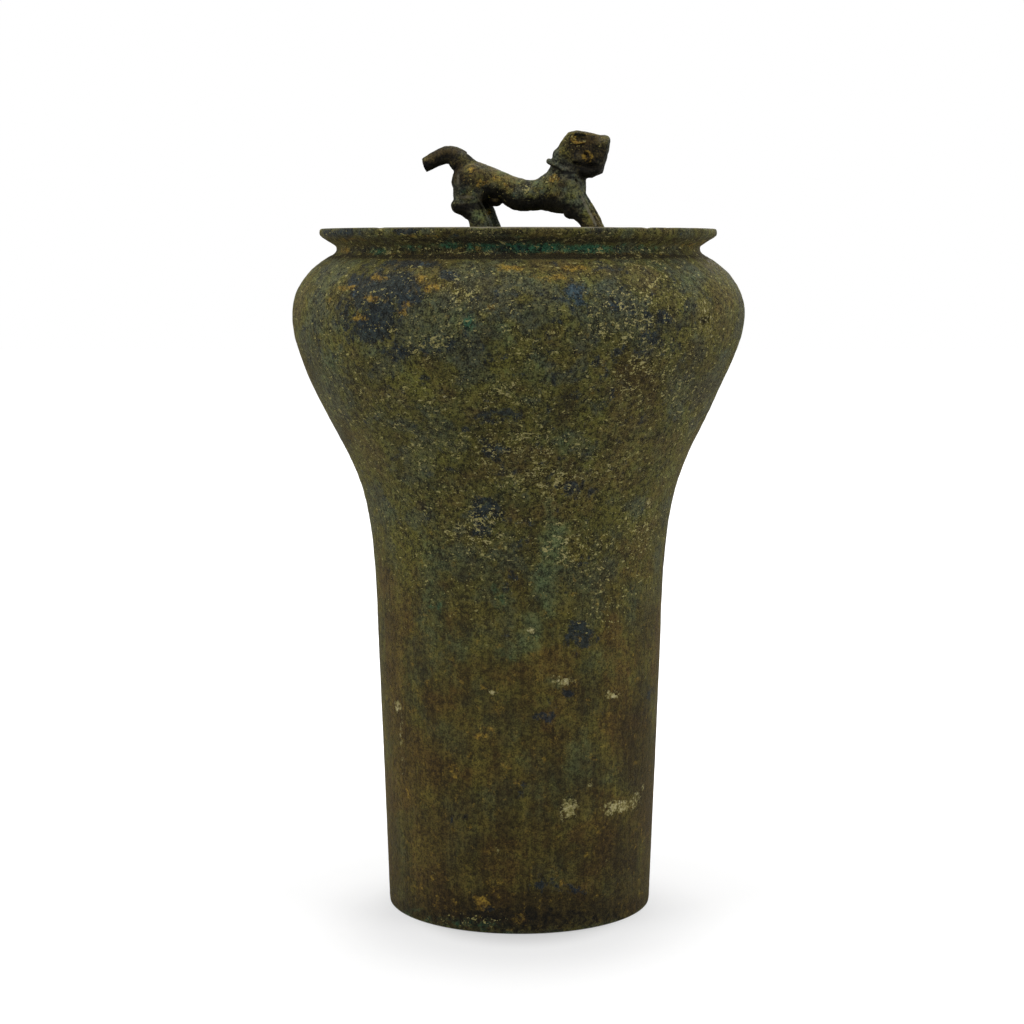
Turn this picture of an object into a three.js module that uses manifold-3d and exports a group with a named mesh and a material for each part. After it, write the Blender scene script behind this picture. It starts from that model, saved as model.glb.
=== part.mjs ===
// A chunyu: a bronze bell of oval section that stands on its open mouth or hangs from a cast tiger.
// Millimetres, +Z up, origin on the axis in the plane of the mouth. The long side of the oval lies along X,
// and the tiger stands along it, head towards +X.
import * as THREE from "three";
import { mergeVertices } from "three/addons/utils/BufferGeometryUtils.js";
import Module from "manifold-3d";

const wasm = await Module();
wasm.setup();

// Outside of the bell: half widths along X, and the rise from one level to the next
const mouthHalfWidth = 80.6;
const barrelHalfWidth = 87.3;
const flareHalfWidth = 110.2;
const shoulderHalfWidth = 135.3;
const shoulderEdgeHalfWidth = 111.2;
const neckHalfWidth = 108.3;
const lipHalfWidth = 118.4;
const barrelRise = 195;
const flareRise = 99;
const shoulderRise = 68;
const shoulderEdgeRise = 34.8;
const neckRise = 4.6;
const lipRise = 10.6;
const sectionDepthPerWidth = 0.87; // the section is an oval, as deep as this share of its width

// Walls, lip and dish
const wallThickness = 4;
const floorThickness = 4;
const dishDepth = 16;
const lipThickness = 4.4;
const lipEdgeRadius = 1.8;
const dishCornerRadius = 3;
const mouthEdgeRadius = 1.2;

// Slopes of the outside, as width gained for each millimetre of height
const flareSlope = 0.5;
const shoulderEdgeSlope = 1.9;
const flareLowerPull = 60;
const flareUpperPull = 25;
const shoulderLowerPull = 28;
const shoulderUpperPull = 17;
const shoulderTopPull = 15;
const shoulderEdgePull = 7.5;

// Bronze spacers that kept the core off the mould and stayed in the wall
const spacerWidth = 7;
const spacerHeight = 6;
const spacersInRow = 4;
const shoulderSpacerDrop = 1; // below the shoulder's widest level
const flareSpacerLevel = 254;
const barrelSpacerLevel = 151;
const mouthSpacerLevel = 74;
const shoulderSpacerTurn = -39; // degrees from +X to the row's first spacer
const flareSpacerTurn = -37;
const barrelSpacerTurn = -73;
const mouthSpacerTurn = -43;
const floorSpacerReach = 74;
const castGap = 0.3; // between two pieces that touch
const coreCornerInset = 2; // extra metal where the wall meets the dish floor
const legCutWidth = 80; // the block that cuts a leg level under its paw
const legCutDepth = 40;

// Tiger: how it stands, its tenons through the dish floor, and the caps that lock them
const tigerTurn = -8; // degrees about Z, which brings the head towards the front
const legSpread = 8.5;
const hindStride = 1.5; // the left hind leg is this far ahead of the middle, the right one behind
const tenonRadius = 3.4;
const tenonReach = 2.6; // below the floor
const capRadius = 6.2;
const capHeight = 5;
const capCrown = 1.6;

// Tiger: [forward, up from the dish floor, half height, half width] along each part of the body
const torso = [
  [-39.5, 44.5, 3.5, 4],
  [-37, 44.5, 8, 7.5],
  [-32, 44.8, 11, 9.6],
  [-21, 43.2, 11, 9.8],
  [-10, 40.2, 9.6, 9],
  [-1, 36.8, 9.4, 8.5],
  [7, 35.9, 8.7, 8.3],
  [14, 37, 9.4, 8.8],
  [22, 38.2, 11.6, 9.8],
  [29, 38.4, 12, 10.2],
  [35, 38.6, 9, 8.6],
  [38.5, 38.8, 4.5, 4.5],
];
const neck = [
  [25, 38, 12, 9.4],
  [27.5, 45, 11.4, 9.6],
  [29.5, 51, 11, 10],
  [31, 57, 9.5, 9],
];
const tail = [
  [-28, 47, 7, 5.8],
  [-33.8, 57, 6.2, 5.4],
  [-41.6, 60.6, 5.2, 4.9],
  [-49.4, 58.8, 4.6, 4.4],
  [-56.8, 54.2, 4, 4],
];
const hindLeg = [
  [-29, 46, 8, 4.6],
  [-28.6, 38, 9, 5.8],
  [-29.2, 30.5, 8.8, 5.8],
  [-26, 24.4, 8, 5.3],
  [-20.4, 18, 6.4, 4.8],
  [-17.4, 10, 6.1, 4.5],
  [-15.6, 4, 6.4, 4.7],
  [-15, castGap, 6.8, 5],
];
const foreLeg = [
  [27, 44, 8, 4.6],
  [30, 36, 9.5, 5.6],
  [34.8, 28.5, 7.8, 5.4],
  [39.8, 22, 6, 5],
  [44, 16.5, 5.4, 4.6],
  [47.6, 8, 5.3, 4.5],
  [49.6, 3, 5.7, 4.8],
  [50, castGap, 6.4, 5],
];
const hockAt = [-32.4, 29];
const hockSize = [5.4, 4.8, 4.6];
const elbowAt = [31.6, 25.2];
const elbowSize = [4.4, 3.4, 3.6];
const hindPawReach = 6;
const forePawReach = 5;
const pawSize = [7, 5, 5.4];

// Tiger's head: its outline from the side, [forward, up], from the nape over the brow to the jaw
const headOutline = [
  [18.6, 55.4],
  [21.2, 61.4],
  [25.6, 68.6],
  [30, 72.8],
  [35, 73.8],
  [40.5, 73],
  [47, 71.4],
  [52.4, 70.4],
  [54.2, 67.8],
  [52.8, 62],
  [51.2, 56],
  [48.6, 50],
  [43, 47.6],
  [36, 48.2],
  [27, 51],
];
const headHalfWidth = 10.8;
const headRounding = 3.6;
const headTaper = 0.26;
const cheekAt = 34;
const muzzleReach = 20;
const collarAt = [27.6, 51.4];
const collarReach = 11.6;
const collarHalfWidth = 10.6;
const collarSlope = 27;
const collarTube = 1.7;
const earAt = [35, 68.2];
const earSize = [4, 2.6, 3.4];
const earCupShare = 0.62;
const eyeAt = [40.8, 58.9];
const eyeRadius = 2.5;
const eyeTube = 0.9;
const noseAt = [51, 68.6];
const noseSize = [3.6, 5, 2.6];

// Smoothness
const ringSides = 64;
const limbSides = 14;
const limbSteps = 2;
const curveSteps = 7;
const roundSides = 24;

// Levels that the sizes above give
const barrelTop = barrelRise;
const flareLevel = barrelTop + flareRise;
const shoulderLevel = flareLevel + shoulderRise;
const shoulderEdgeLevel = shoulderLevel + shoulderEdgeRise;
const neckLevel = shoulderEdgeLevel + neckRise;
const rimLevel = neckLevel + lipRise;
const floorTop = rimLevel - dishDepth;
const floorUnder = floorTop - floorThickness;

// Solids: three.js geometry in, manifold-3d joins and cuts, three.js geometry out
function solidOf(geometry) {
  const bare = geometry.clone();
  for (const name of Object.keys(bare.attributes)) {
    if (name !== "position") bare.deleteAttribute(name);
  }
  const merged = mergeVertices(bare, 1e-4);
  const mesh = new wasm.Mesh({
    numProp: 3,
    vertProperties: new Float32Array(merged.attributes.position.array),
    triVerts: new Uint32Array(merged.index.array),
  });
  return new wasm.Manifold(mesh);
}

function geometryOf(solid) {
  const mesh = solid.getMesh();
  const geometry = new THREE.BufferGeometry();
  geometry.setAttribute("position", new THREE.BufferAttribute(mesh.vertProperties, 3));
  geometry.setIndex(new THREE.BufferAttribute(mesh.triVerts, 1));
  geometry.computeVertexNormals();
  return geometry;
}

function joined(solids) {
  return solids.reduce((whole, next) => whole.add(next));
}

// A closed skin over rings of points, with a point at each end
function skinOver(rings, firstPole, lastPole) {
  const sides = rings[0].length;
  const points = [firstPole, ...rings.flat(), lastPole];
  const faces = [];
  const last = points.length - 1;
  for (let i = 0; i < sides; i++) {
    const next = (i + 1) % sides;
    faces.push(0, 1 + next, 1 + i);
    faces.push(last, last - sides + i, last - sides + next);
    for (let ring = 0; ring < rings.length - 1; ring++) {
      const low = 1 + ring * sides;
      const high = low + sides;
      faces.push(low + i, low + next, high + next);
      faces.push(low + i, high + next, high + i);
    }
  }
  const geometry = new THREE.BufferGeometry();
  const flat = points.flatMap((point) => [point.x, point.y, point.z]);
  geometry.setAttribute("position", new THREE.Float32BufferAttribute(flat, 3));
  geometry.setIndex(faces);
  return geometry;
}

// The outside of the bell from mouth to neck, as curves in the plane of half width and height
function outsideCurves() {
  const barrelSlope = (barrelHalfWidth - mouthHalfWidth) / barrelRise;
  const mouth = new THREE.Vector2(mouthHalfWidth, 0);
  const barrel = new THREE.Vector2(barrelHalfWidth, barrelTop);
  const flare = new THREE.Vector2(flareHalfWidth, flareLevel);
  const shoulder = new THREE.Vector2(shoulderHalfWidth, shoulderLevel);
  const shoulderEdge = new THREE.Vector2(shoulderEdgeHalfWidth, shoulderEdgeLevel);
  const neckLine = new THREE.Vector2(neckHalfWidth, neckLevel);
  const moved = (point, slope, rise) => new THREE.Vector2(point.x + slope * rise, point.y + rise);
  return [
    new THREE.LineCurve(mouth, barrel),
    new THREE.CubicBezierCurve(
      barrel,
      moved(barrel, barrelSlope, flareLowerPull),
      moved(flare, flareSlope, -flareUpperPull),
      flare,
    ),
    new THREE.CubicBezierCurve(
      flare,
      moved(flare, flareSlope, shoulderLowerPull),
      moved(shoulder, 0, -shoulderUpperPull),
      shoulder,
    ),
    new THREE.CubicBezierCurve(
      shoulder,
      moved(shoulder, 0, shoulderTopPull),
      moved(shoulderEdge, -shoulderEdgeSlope, -shoulderEdgePull),
      shoulderEdge,
    ),
    new THREE.QuadraticBezierCurve(
      shoulderEdge,
      new THREE.Vector2(neckHalfWidth, shoulderEdgeLevel + neckRise / 3),
      neckLine,
    ),
  ];
}

// Points along the outside, each with the outward direction of the wall there
function wallStations() {
  const stations = [];
  outsideCurves().forEach((curve, index) => {
    const steps = index === 0 ? 3 : index === 4 ? 3 : curveSteps;
    for (let step = index === 0 ? 0 : 1; step <= steps; step++) {
      const at = curve.getPoint(step / steps);
      const along = curve.getTangent(step / steps);
      stations.push({ width: at.x, level: at.y, out: along.y, up: -along.x });
    }
  });
  return stations;
}

// One oval ring: the wall's own thickness comes off both half axes alike
function ovalRing(halfWidth, level, inset = 0) {
  return Array.from({ length: ringSides }, (_, i) => {
    const turn = (2 * Math.PI * i) / ringSides;
    const x = (halfWidth - inset) * Math.cos(turn);
    const y = (halfWidth * sectionDepthPerWidth - inset) * Math.sin(turn);
    return new THREE.Vector3(x, y, level);
  });
}

function bellShell() {
  const stations = wallStations();
  const outside = stations.map((s) => ovalRing(s.width, s.level));
  const bevel = mouthEdgeRadius * Math.SQRT1_2;
  outside[0] = ovalRing(mouthHalfWidth, mouthEdgeRadius);
  outside.unshift(ovalRing(mouthHalfWidth, mouthEdgeRadius - bevel, mouthEdgeRadius - bevel));
  outside.unshift(ovalRing(mouthHalfWidth, 0, mouthEdgeRadius));

  // The lip: out from the neck along its under side, round the edge and across the top
  const underLevel = rimLevel - lipThickness;
  const edgeMiddle = underLevel + lipEdgeRadius;
  const lip = [
    ovalRing(neckHalfWidth + (lipHalfWidth - neckHalfWidth) * 0.2, neckLevel + lipRise * 0.17),
    ovalRing(neckHalfWidth + (lipHalfWidth - neckHalfWidth) * 0.5, neckLevel + lipRise * 0.36),
    ovalRing(lipHalfWidth, underLevel, lipEdgeRadius),
    ovalRing(lipHalfWidth, edgeMiddle - lipEdgeRadius * 0.5, lipEdgeRadius * 0.3),
    ovalRing(lipHalfWidth, edgeMiddle + lipEdgeRadius * 0.4),
    ovalRing(lipHalfWidth, rimLevel - lipEdgeRadius * 0.3, lipEdgeRadius * 0.4),
    ovalRing(lipHalfWidth, rimLevel, lipEdgeRadius),
  ];

  // The dish: down inside the lip and the neck to the floor
  const dishInset = wallThickness;
  const dish = [
    ovalRing(lipHalfWidth, rimLevel, lipEdgeRadius + wallThickness * 0.7),
    ovalRing(neckHalfWidth + (lipHalfWidth - neckHalfWidth) * 0.5, neckLevel + lipRise * 0.62, dishInset),
    ovalRing(neckHalfWidth, neckLevel + lipRise * 0.2, dishInset),
    ovalRing(neckHalfWidth, floorTop + dishCornerRadius, dishInset),
    ovalRing(neckHalfWidth, floorTop + dishCornerRadius * 0.3, dishInset + dishCornerRadius * 0.3),
    ovalRing(neckHalfWidth, floorTop, dishInset + dishCornerRadius),
  ];

  // The inside: the wall's thickness in from the outside, up to the under side of the floor
  const within = stations.filter((s) => s.level - wallThickness * s.up < floorUnder - 1);
  const inside = within.map((s) =>
    ovalRing(s.width, s.level - wallThickness * s.up, wallThickness * s.out),
  );
  inside[0] = ovalRing(mouthHalfWidth, 0, wallThickness);
  const top = within[within.length - 1];
  inside.push(ovalRing(top.width, floorUnder, wallThickness * top.out + coreCornerInset));
  inside.reverse();

  const rings = [...inside, ...outside, ...lip, ...dish];
  const below = new THREE.Vector3(0, 0, floorUnder);
  const above = new THREE.Vector3(0, 0, floorTop);
  return solidOf(skinOver(rings, below, above));
}

// Where a spacer sits: on the wall at a level and a turn, facing out, with one side level
function placeOnWall(level, turnDegrees) {
  const stations = wallStations();
  const index = stations.findIndex((s) => s.level > level);
  const low = stations[index - 1];
  const high = stations[index];
  const share = (level - low.level) / (high.level - low.level);
  const width = THREE.MathUtils.lerp(low.width, high.width, share);
  const slope = (high.width - low.width) / (high.level - low.level);
  const turn = THREE.MathUtils.degToRad(turnDegrees);
  const depth = width * sectionDepthPerWidth;
  const at = new THREE.Vector3(width * Math.cos(turn), depth * Math.sin(turn), level);
  const out = new THREE.Vector3(depth * Math.cos(turn), width * Math.sin(turn), 0).normalize();
  const along = new THREE.Vector3(-out.y, out.x, 0);
  out.z = -slope;
  return { at, out: out.normalize(), along };
}

// A straight block through the wall, from which a spacer or its pocket is cut
function wallBlock(place, grow) {
  const through = wallThickness * 4;
  const block = new THREE.BoxGeometry(spacerWidth + 2 * grow, spacerHeight + 2 * grow, through);
  const over = place.out.clone().cross(place.along);
  block.applyMatrix4(new THREE.Matrix4().makeBasis(place.along, over, place.out));
  block.translate(place.at.x, place.at.y, place.at.z);
  return solidOf(block);
}

function spacerPlaces() {
  const places = [];
  const rows = [
    ["shoulder", shoulderLevel - shoulderSpacerDrop, shoulderSpacerTurn],
    ["flare", flareSpacerLevel, flareSpacerTurn],
    ["barrel", barrelSpacerLevel, barrelSpacerTurn],
    ["mouth", mouthSpacerLevel, mouthSpacerTurn],
  ];
  for (const [row, level, turn] of rows) {
    for (let i = 0; i < spacersInRow; i++) {
      const place = placeOnWall(level, turn + (360 * i) / spacersInRow);
      places.push({ name: `${row}_spacer_${i + 1}`, ...place });
    }
  }
  for (const [name, side] of [["left", -1], ["right", 1]]) {
    places.push({
      name: `floor_spacer_${name}`,
      at: new THREE.Vector3(side * floorSpacerReach, 0, floorTop),
      out: new THREE.Vector3(0, 0, 1),
      along: new THREE.Vector3(1, 0, 0),
    });
  }
  return places;
}

// A limb: oval sections across a smooth path in the tiger's plane, set off to one side
function limb(stations, forward = 0, side = 0) {
  const path = new THREE.SplineCurve(stations.map(([x, z]) => new THREE.Vector2(x, z)));
  const sizes = new THREE.SplineCurve(stations.map(([, , high, wide]) => new THREE.Vector2(high, wide)));
  const steps = (stations.length - 1) * limbSteps;
  const across = new THREE.Vector3(0, 1, 0);
  const centres = [];
  const rings = [];
  for (let step = 0; step <= steps; step++) {
    const at = path.getPoint(step / steps);
    const tangent = path.getTangent(step / steps);
    const size = sizes.getPoint(step / steps);
    const centre = new THREE.Vector3(at.x + forward, side, at.y);
    const over = new THREE.Vector3(tangent.x, 0, tangent.y).cross(across);
    centres.push(centre);
    rings.push(
      Array.from({ length: limbSides }, (_, i) => {
        const turn = (2 * Math.PI * i) / limbSides;
        const point = centre.clone().addScaledVector(across, size.y * Math.cos(turn));
        return point.addScaledVector(over, size.x * Math.sin(turn));
      }),
    );
  }
  return solidOf(skinOver(rings, centres[0], centres[steps]));
}

function ellipsoid(at, size, side = 0) {
  const ball = new THREE.SphereGeometry(1, limbSides, limbSides / 2);
  ball.scale(size[0], size[1], size[2]);
  ball.translate(at[0], side, at[1]);
  return solidOf(ball);
}

// The four legs: which stations each follows, and where it stands
function legs() {
  const list = [];
  for (const [end, stations, stride, pawReach] of [
    ["hind", hindLeg, hindStride, hindPawReach],
    ["fore", foreLeg, 0, forePawReach],
  ]) {
    for (const [hand, side] of [["left", 1], ["right", -1]]) {
      const forward = side * stride;
      const x = stations[stations.length - 1][0] + forward;
      list.push({ name: `${end}_${hand}`, stations, pawReach, forward, x, y: side * legSpread });
    }
  }
  return list;
}

// A leg down to its paw, with the tenon that goes through the dish floor
function legSolid(leg) {
  const paw = ellipsoid([leg.x + leg.pawReach * 0.4, pawSize[2] * 0.1], pawSize, leg.y);
  const below = new THREE.BoxGeometry(legCutWidth, legCutWidth, legCutDepth);
  below.translate(leg.x, leg.y, castGap - legCutDepth / 2);
  const length = castGap * 2 + floorThickness + tenonReach;
  const tenon = new THREE.CylinderGeometry(tenonRadius, tenonRadius, length, roundSides);
  tenon.rotateX(Math.PI / 2);
  tenon.translate(leg.x, leg.y, castGap * 2 - length / 2);
  const shaped = limb(leg.stations, leg.forward, leg.y).add(paw);
  return shaped.subtract(solidOf(below)).add(solidOf(tenon));
}

// Half the head's width at a place along it: full at the cheeks, narrower to nape and muzzle
function headHalfAt(forward) {
  return headHalfWidth * (1 - headTaper * ((forward - cheekAt) / muzzleReach) ** 2);
}

function tigerHead() {
  const outline = new THREE.Shape();
  outline.setFromPoints(headOutline.map(([x, z]) => new THREE.Vector2(x, z)));
  const skull = new THREE.ExtrudeGeometry(outline, {
    depth: 2 * (headHalfWidth - headRounding),
    bevelThickness: headRounding,
    bevelSize: headRounding,
    bevelOffset: -headRounding,
    bevelSegments: 3,
  });
  skull.rotateX(Math.PI / 2);
  skull.translate(0, headHalfWidth - headRounding, 0);
  const points = skull.attributes.position;
  for (let i = 0; i < points.count; i++) {
    points.setY(i, (points.getY(i) * headHalfAt(points.getX(i))) / headHalfWidth);
  }
  const parts = [solidOf(skull), limb(neck), ellipsoid(noseAt, noseSize)];
  const cups = [];
  for (const side of [-1, 1]) {
    const cheek = side * headHalfAt(earAt[0]);
    const cup = earSize.map((size) => size * earCupShare);
    parts.push(ellipsoid(earAt, earSize, cheek));
    cups.push(ellipsoid(earAt, cup, cheek + side * earSize[1] * 0.8));
    const eye = new THREE.TorusGeometry(eyeRadius, eyeTube, 8, 16);
    eye.rotateX(Math.PI / 2);
    eye.translate(eyeAt[0], side * headHalfAt(eyeAt[0]), eyeAt[1]);
    parts.push(solidOf(eye));
  }
  const collar = new THREE.TorusGeometry(collarReach, collarTube, 8, roundSides);
  collar.scale(1, collarHalfWidth / collarReach, 1);
  collar.rotateY(THREE.MathUtils.degToRad(collarSlope));
  collar.translate(collarAt[0], 0, collarAt[1]);
  return joined([...parts, solidOf(collar)]).subtract(joined(cups));
}

function tiger() {
  const parts = [limb(torso), limb(tail), tigerHead()];
  for (const leg of legs()) {
    parts.push(legSolid(leg));
  }
  for (const side of [-legSpread, legSpread]) {
    parts.push(ellipsoid(hockAt, hockSize, side));
    parts.push(ellipsoid(elbowAt, elbowSize, side));
  }
  return joined(parts);
}

// Turned with the tiger and set on the dish floor or under it
function placedUnderTiger(solid, level) {
  return solid.rotate([0, 0, tigerTurn]).translate([0, 0, level]);
}

function tenonSocket(leg) {
  const radius = tenonRadius + castGap;
  const hole = new THREE.CylinderGeometry(radius, radius, floorThickness * 3, roundSides);
  hole.rotateX(Math.PI / 2);
  hole.translate(leg.x, leg.y, -floorThickness / 2);
  return placedUnderTiger(solidOf(hole), floorTop);
}

// A cast cap: a low button with a well that takes the tenon's end
function tenonCap(leg) {
  const well = tenonRadius + castGap;
  const wellTop = -tenonReach - castGap * 2;
  const profile = [
    [0, -capHeight],
    [capRadius * 0.55, -capHeight],
    [capRadius * 0.85, -capHeight + capCrown * 0.6],
    [capRadius, -capHeight + capCrown * 1.8],
    [capRadius, -castGap],
    [well, -castGap],
    [well, wellTop],
    [0, wellTop],
  ];
  const points = profile.map(([radius, height]) => new THREE.Vector2(radius, height));
  const cap = new THREE.LatheGeometry(points, roundSides);
  cap.rotateX(Math.PI / 2);
  cap.translate(leg.x, leg.y, 0);
  return placedUnderTiger(solidOf(cap), floorUnder);
}

// Materials
const bronze = new THREE.MeshStandardMaterial({ color: 0x3b3a24, roughness: 0.75, metalness: 0.35 });
const tigerBronze = new THREE.MeshStandardMaterial({ color: 0x35352a, roughness: 0.6, metalness: 0.4 });
const spacerBronze = new THREE.MeshStandardMaterial({ color: 0x5a4f2e, roughness: 0.8, metalness: 0.3 });
const capBronze = new THREE.MeshStandardMaterial({ color: 0x40392a, roughness: 0.8, metalness: 0.3 });

function named(name, geometry, material) {
  const mesh = new THREE.Mesh(geometry, material);
  mesh.name = name;
  return mesh;
}

const bell = new THREE.Group();
const shell = bellShell();
const spacers = spacerPlaces();
const pockets = spacers.map((place) => wallBlock(place, castGap));
const sockets = legs().map(tenonSocket);
bell.add(named("bell_body", geometryOf(shell.subtract(joined([...pockets, ...sockets]))), bronze));
bell.add(named("tiger_handle", geometryOf(placedUnderTiger(tiger(), floorTop)), tigerBronze));
for (const place of spacers) {
  const piece = shell.intersect(wallBlock(place, 0));
  bell.add(named(place.name, geometryOf(piece), spacerBronze));
}
for (const leg of legs()) {
  bell.add(named(`tenon_cap_${leg.name}`, geometryOf(tenonCap(leg)), capBronze));
}

export default bell;
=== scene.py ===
# Bronze tiger bell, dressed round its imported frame
import math

import bpy
import numpy as np
import openvdb
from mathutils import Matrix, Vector


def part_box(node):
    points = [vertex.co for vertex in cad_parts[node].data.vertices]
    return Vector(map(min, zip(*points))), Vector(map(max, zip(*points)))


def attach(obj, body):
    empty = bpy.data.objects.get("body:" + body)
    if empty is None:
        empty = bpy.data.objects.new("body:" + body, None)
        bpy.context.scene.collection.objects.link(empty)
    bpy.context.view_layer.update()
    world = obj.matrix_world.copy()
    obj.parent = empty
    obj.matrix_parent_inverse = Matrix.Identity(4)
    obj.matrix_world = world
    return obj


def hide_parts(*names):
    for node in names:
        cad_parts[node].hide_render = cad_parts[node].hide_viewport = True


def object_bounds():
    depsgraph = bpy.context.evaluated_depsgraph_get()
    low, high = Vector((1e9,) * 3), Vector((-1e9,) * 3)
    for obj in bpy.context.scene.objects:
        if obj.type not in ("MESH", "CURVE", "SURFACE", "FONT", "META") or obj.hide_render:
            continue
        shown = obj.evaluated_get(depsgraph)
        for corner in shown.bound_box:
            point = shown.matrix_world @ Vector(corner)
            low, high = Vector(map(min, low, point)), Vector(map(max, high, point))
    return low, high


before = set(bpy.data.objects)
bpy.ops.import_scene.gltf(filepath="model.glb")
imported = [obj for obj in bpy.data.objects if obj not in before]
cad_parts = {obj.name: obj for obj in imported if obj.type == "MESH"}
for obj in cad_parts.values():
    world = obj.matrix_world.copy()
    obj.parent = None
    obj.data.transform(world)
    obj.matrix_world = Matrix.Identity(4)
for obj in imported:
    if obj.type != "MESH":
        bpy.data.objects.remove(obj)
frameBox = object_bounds()
scene = bpy.context.scene
mm = 0.001
depthPerWidth = 0.87  # of the oval section, from top to foot


# Camera, which also tells where a mark in the photograph lies

photoCamera = {
    "pixels": 1024,  # a side
    "lens": 69.56,
    "sensor": 36.0,
    "place": (-4.3, -1193.9, 398.2),  # mm
    "lookDown": 7.457,  # degrees
}


def makeCamera():
    data = bpy.data.cameras.new("photoCamera")
    data.lens = photoCamera["lens"]
    data.sensor_width = photoCamera["sensor"]
    camera = bpy.data.objects.new("photoCamera", data)
    camera.location = Vector(photoCamera["place"]) * mm
    camera.rotation_euler = (math.radians(90 - photoCamera["lookDown"]), 0, 0)
    scene.collection.objects.link(camera)
    scene.camera = camera


def inPhoto(points):  # the pixel of the photograph that shows each point, given in mm
    tilt = math.radians(photoCamera["lookDown"])
    away = points - np.array(photoCamera["place"])
    depth = away[:, 1] * math.cos(tilt) - away[:, 2] * math.sin(tilt)
    up = away[:, 1] * math.sin(tilt) + away[:, 2] * math.cos(tilt)
    focal = photoCamera["lens"] / photoCamera["sensor"] * photoCamera["pixels"]
    middle = photoCamera["pixels"] / 2
    return np.column_stack((middle + focal * away[:, 0] / depth, middle - focal * up / depth))


makeCamera()
print("camera placed")


# Small helpers for meshes and masks

def pieceFrom(name, points, faces):  # points in mm
    mesh = bpy.data.meshes.new(name)
    mesh.from_pydata((np.array(points) * mm).tolist(), [], faces)
    piece = bpy.data.objects.new(name, mesh)
    scene.collection.objects.link(piece)
    return piece


def vectorsOf(piece, what):
    flat = np.empty(len(piece.data.vertices) * 3)
    piece.data.vertices.foreach_get(what, flat)
    return flat.reshape(-1, 3)


def pointsOf(piece):  # mm
    return vectorsOf(piece, "co") / mm


def setPoints(piece, points):  # mm
    piece.data.vertices.foreach_set("co", (points * mm).ravel())
    piece.data.update()


def paint(piece, name, values):  # a soft mask that the finish reads
    attribute = piece.data.attributes.new(name, "FLOAT", "POINT")
    attribute.data.foreach_set("value", np.clip(values, 0, 1).astype(np.float32))


def keepMade(piece):  # what the modifiers give becomes the piece's own mesh
    graph = bpy.context.evaluated_depsgraph_get()
    made = bpy.data.meshes.new_from_object(piece.evaluated_get(graph))
    piece.modifiers.clear()
    piece.data = made


def smoothShade(piece, edgeAngle):
    piece.data.polygons.foreach_set("use_smooth", [True] * len(piece.data.polygons))
    piece.data.set_sharp_from_angle(angle=math.radians(edgeAngle))


def soft(low, high, value):
    t = np.clip((value - low) / (high - low), 0, 1)
    return t * t * (3 - 2 * t)


def linear(hexColour):  # a painter's hex colour as Blender's linear values
    parts = [int(hexColour[i : i + 2], 16) / 255 for i in (0, 2, 4)]
    return (*[v / 12.92 if v <= 0.04045 else ((v + 0.055) / 1.055) ** 2.4 for v in parts], 1)


# Node trees: calls place nodes in the tree begun last, and sums with what they give place more

making = {}  # holds the tree begun last


class Placed:  # a placed node: stands for its first output, or with a key for another of them
    def __init__(self, node, key=None):
        self.node = node
        self.key = key

    def __getitem__(self, key):
        return Placed(self.node, key)

    def __add__(self, other):
        return reckon("ADD", self, other)

    def __radd__(self, other):
        return reckon("ADD", other, self)

    def __sub__(self, other):
        return reckon("SUBTRACT", self, other)

    def __rsub__(self, other):
        return reckon("SUBTRACT", other, self)

    def __mul__(self, other):
        return reckon("MULTIPLY", self, other)

    def __truediv__(self, other):
        return reckon("DIVIDE", self, other)

    def __rtruediv__(self, other):
        return reckon("DIVIDE", other, self)

    def socket(self):
        if self.key is None:
            return next(out for out in self.node.outputs if out.enabled)
        return self.node.outputs[self.key]


def place(kind, inputs=None, **settings):
    node = making["tree"].nodes.new(kind)
    for key, value in settings.items():
        setattr(node, key, value)
    for key, value in (inputs or {}).items():
        if isinstance(value, Placed):
            making["tree"].links.new(value.socket(), node.inputs[key])
        else:
            node.inputs[key].default_value = value
    return Placed(node)


def isVector(value):
    return isinstance(value, tuple) or isinstance(value, Placed) and value.socket().type in ("VECTOR", "RGBA")


def reckon(operation, *values, clamp=False):  # on vectors if one is given, else on numbers
    vectors = [isVector(value) for value in values]
    if not any(vectors):
        return place("ShaderNodeMath", dict(enumerate(values)), operation=operation, use_clamp=clamp)
    if operation == "MULTIPLY" and not all(vectors):
        return place("ShaderNodeVectorMath", {0: values[0], "Scale": values[1]}, operation="SCALE")
    return place("ShaderNodeVectorMath", dict(enumerate(values)), operation=operation)


def split(vector):
    parts = place("ShaderNodeSeparateXYZ", {0: vector})
    return parts[0], parts[1], parts[2]


def together(x, y, z=0):
    return place("ShaderNodeCombineXYZ", {0: x, 1: y, 2: z})


def ramp(value, low, high, atLow=0.0, atHigh=1.0):
    inputs = {"Value": value, "From Min": low, "From Max": high, "To Min": atLow, "To Max": atHigh}
    return place("ShaderNodeMapRange", inputs, interpolation_type="SMOOTHSTEP")[0]


def mixColour(share, first, second):
    return place("ShaderNodeMix", {0: share, 6: first, 7: second}, data_type="RGBA")[2]


def noise(where, size, detail, roughness):  # where and size in mm
    inputs = {"Vector": where, "Scale": 1.0 / size, "Detail": detail, "Roughness": roughness}
    return place("ShaderNodeTexNoise", inputs)[0]


def newTree(name, kind, inputs, outputs):  # each input is named with its plain number or its kind
    tree = bpy.data.node_groups.new(name, kind + "NodeTree")
    for way, sockets in (("INPUT", inputs), ("OUTPUT", outputs)):
        for key, value in sockets.items():
            number = {int: "Int", float: "Float"}.get(type(value))
            made = tree.interface.new_socket(
                name=key, in_out=way, socket_type="NodeSocket" + (number or value)
            )
            if number:
                made.default_value = value
    making["tree"] = tree
    return place("NodeGroupInput")


def closeTree(results):
    place("NodeGroupOutput", results)
    return making["tree"]


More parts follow.
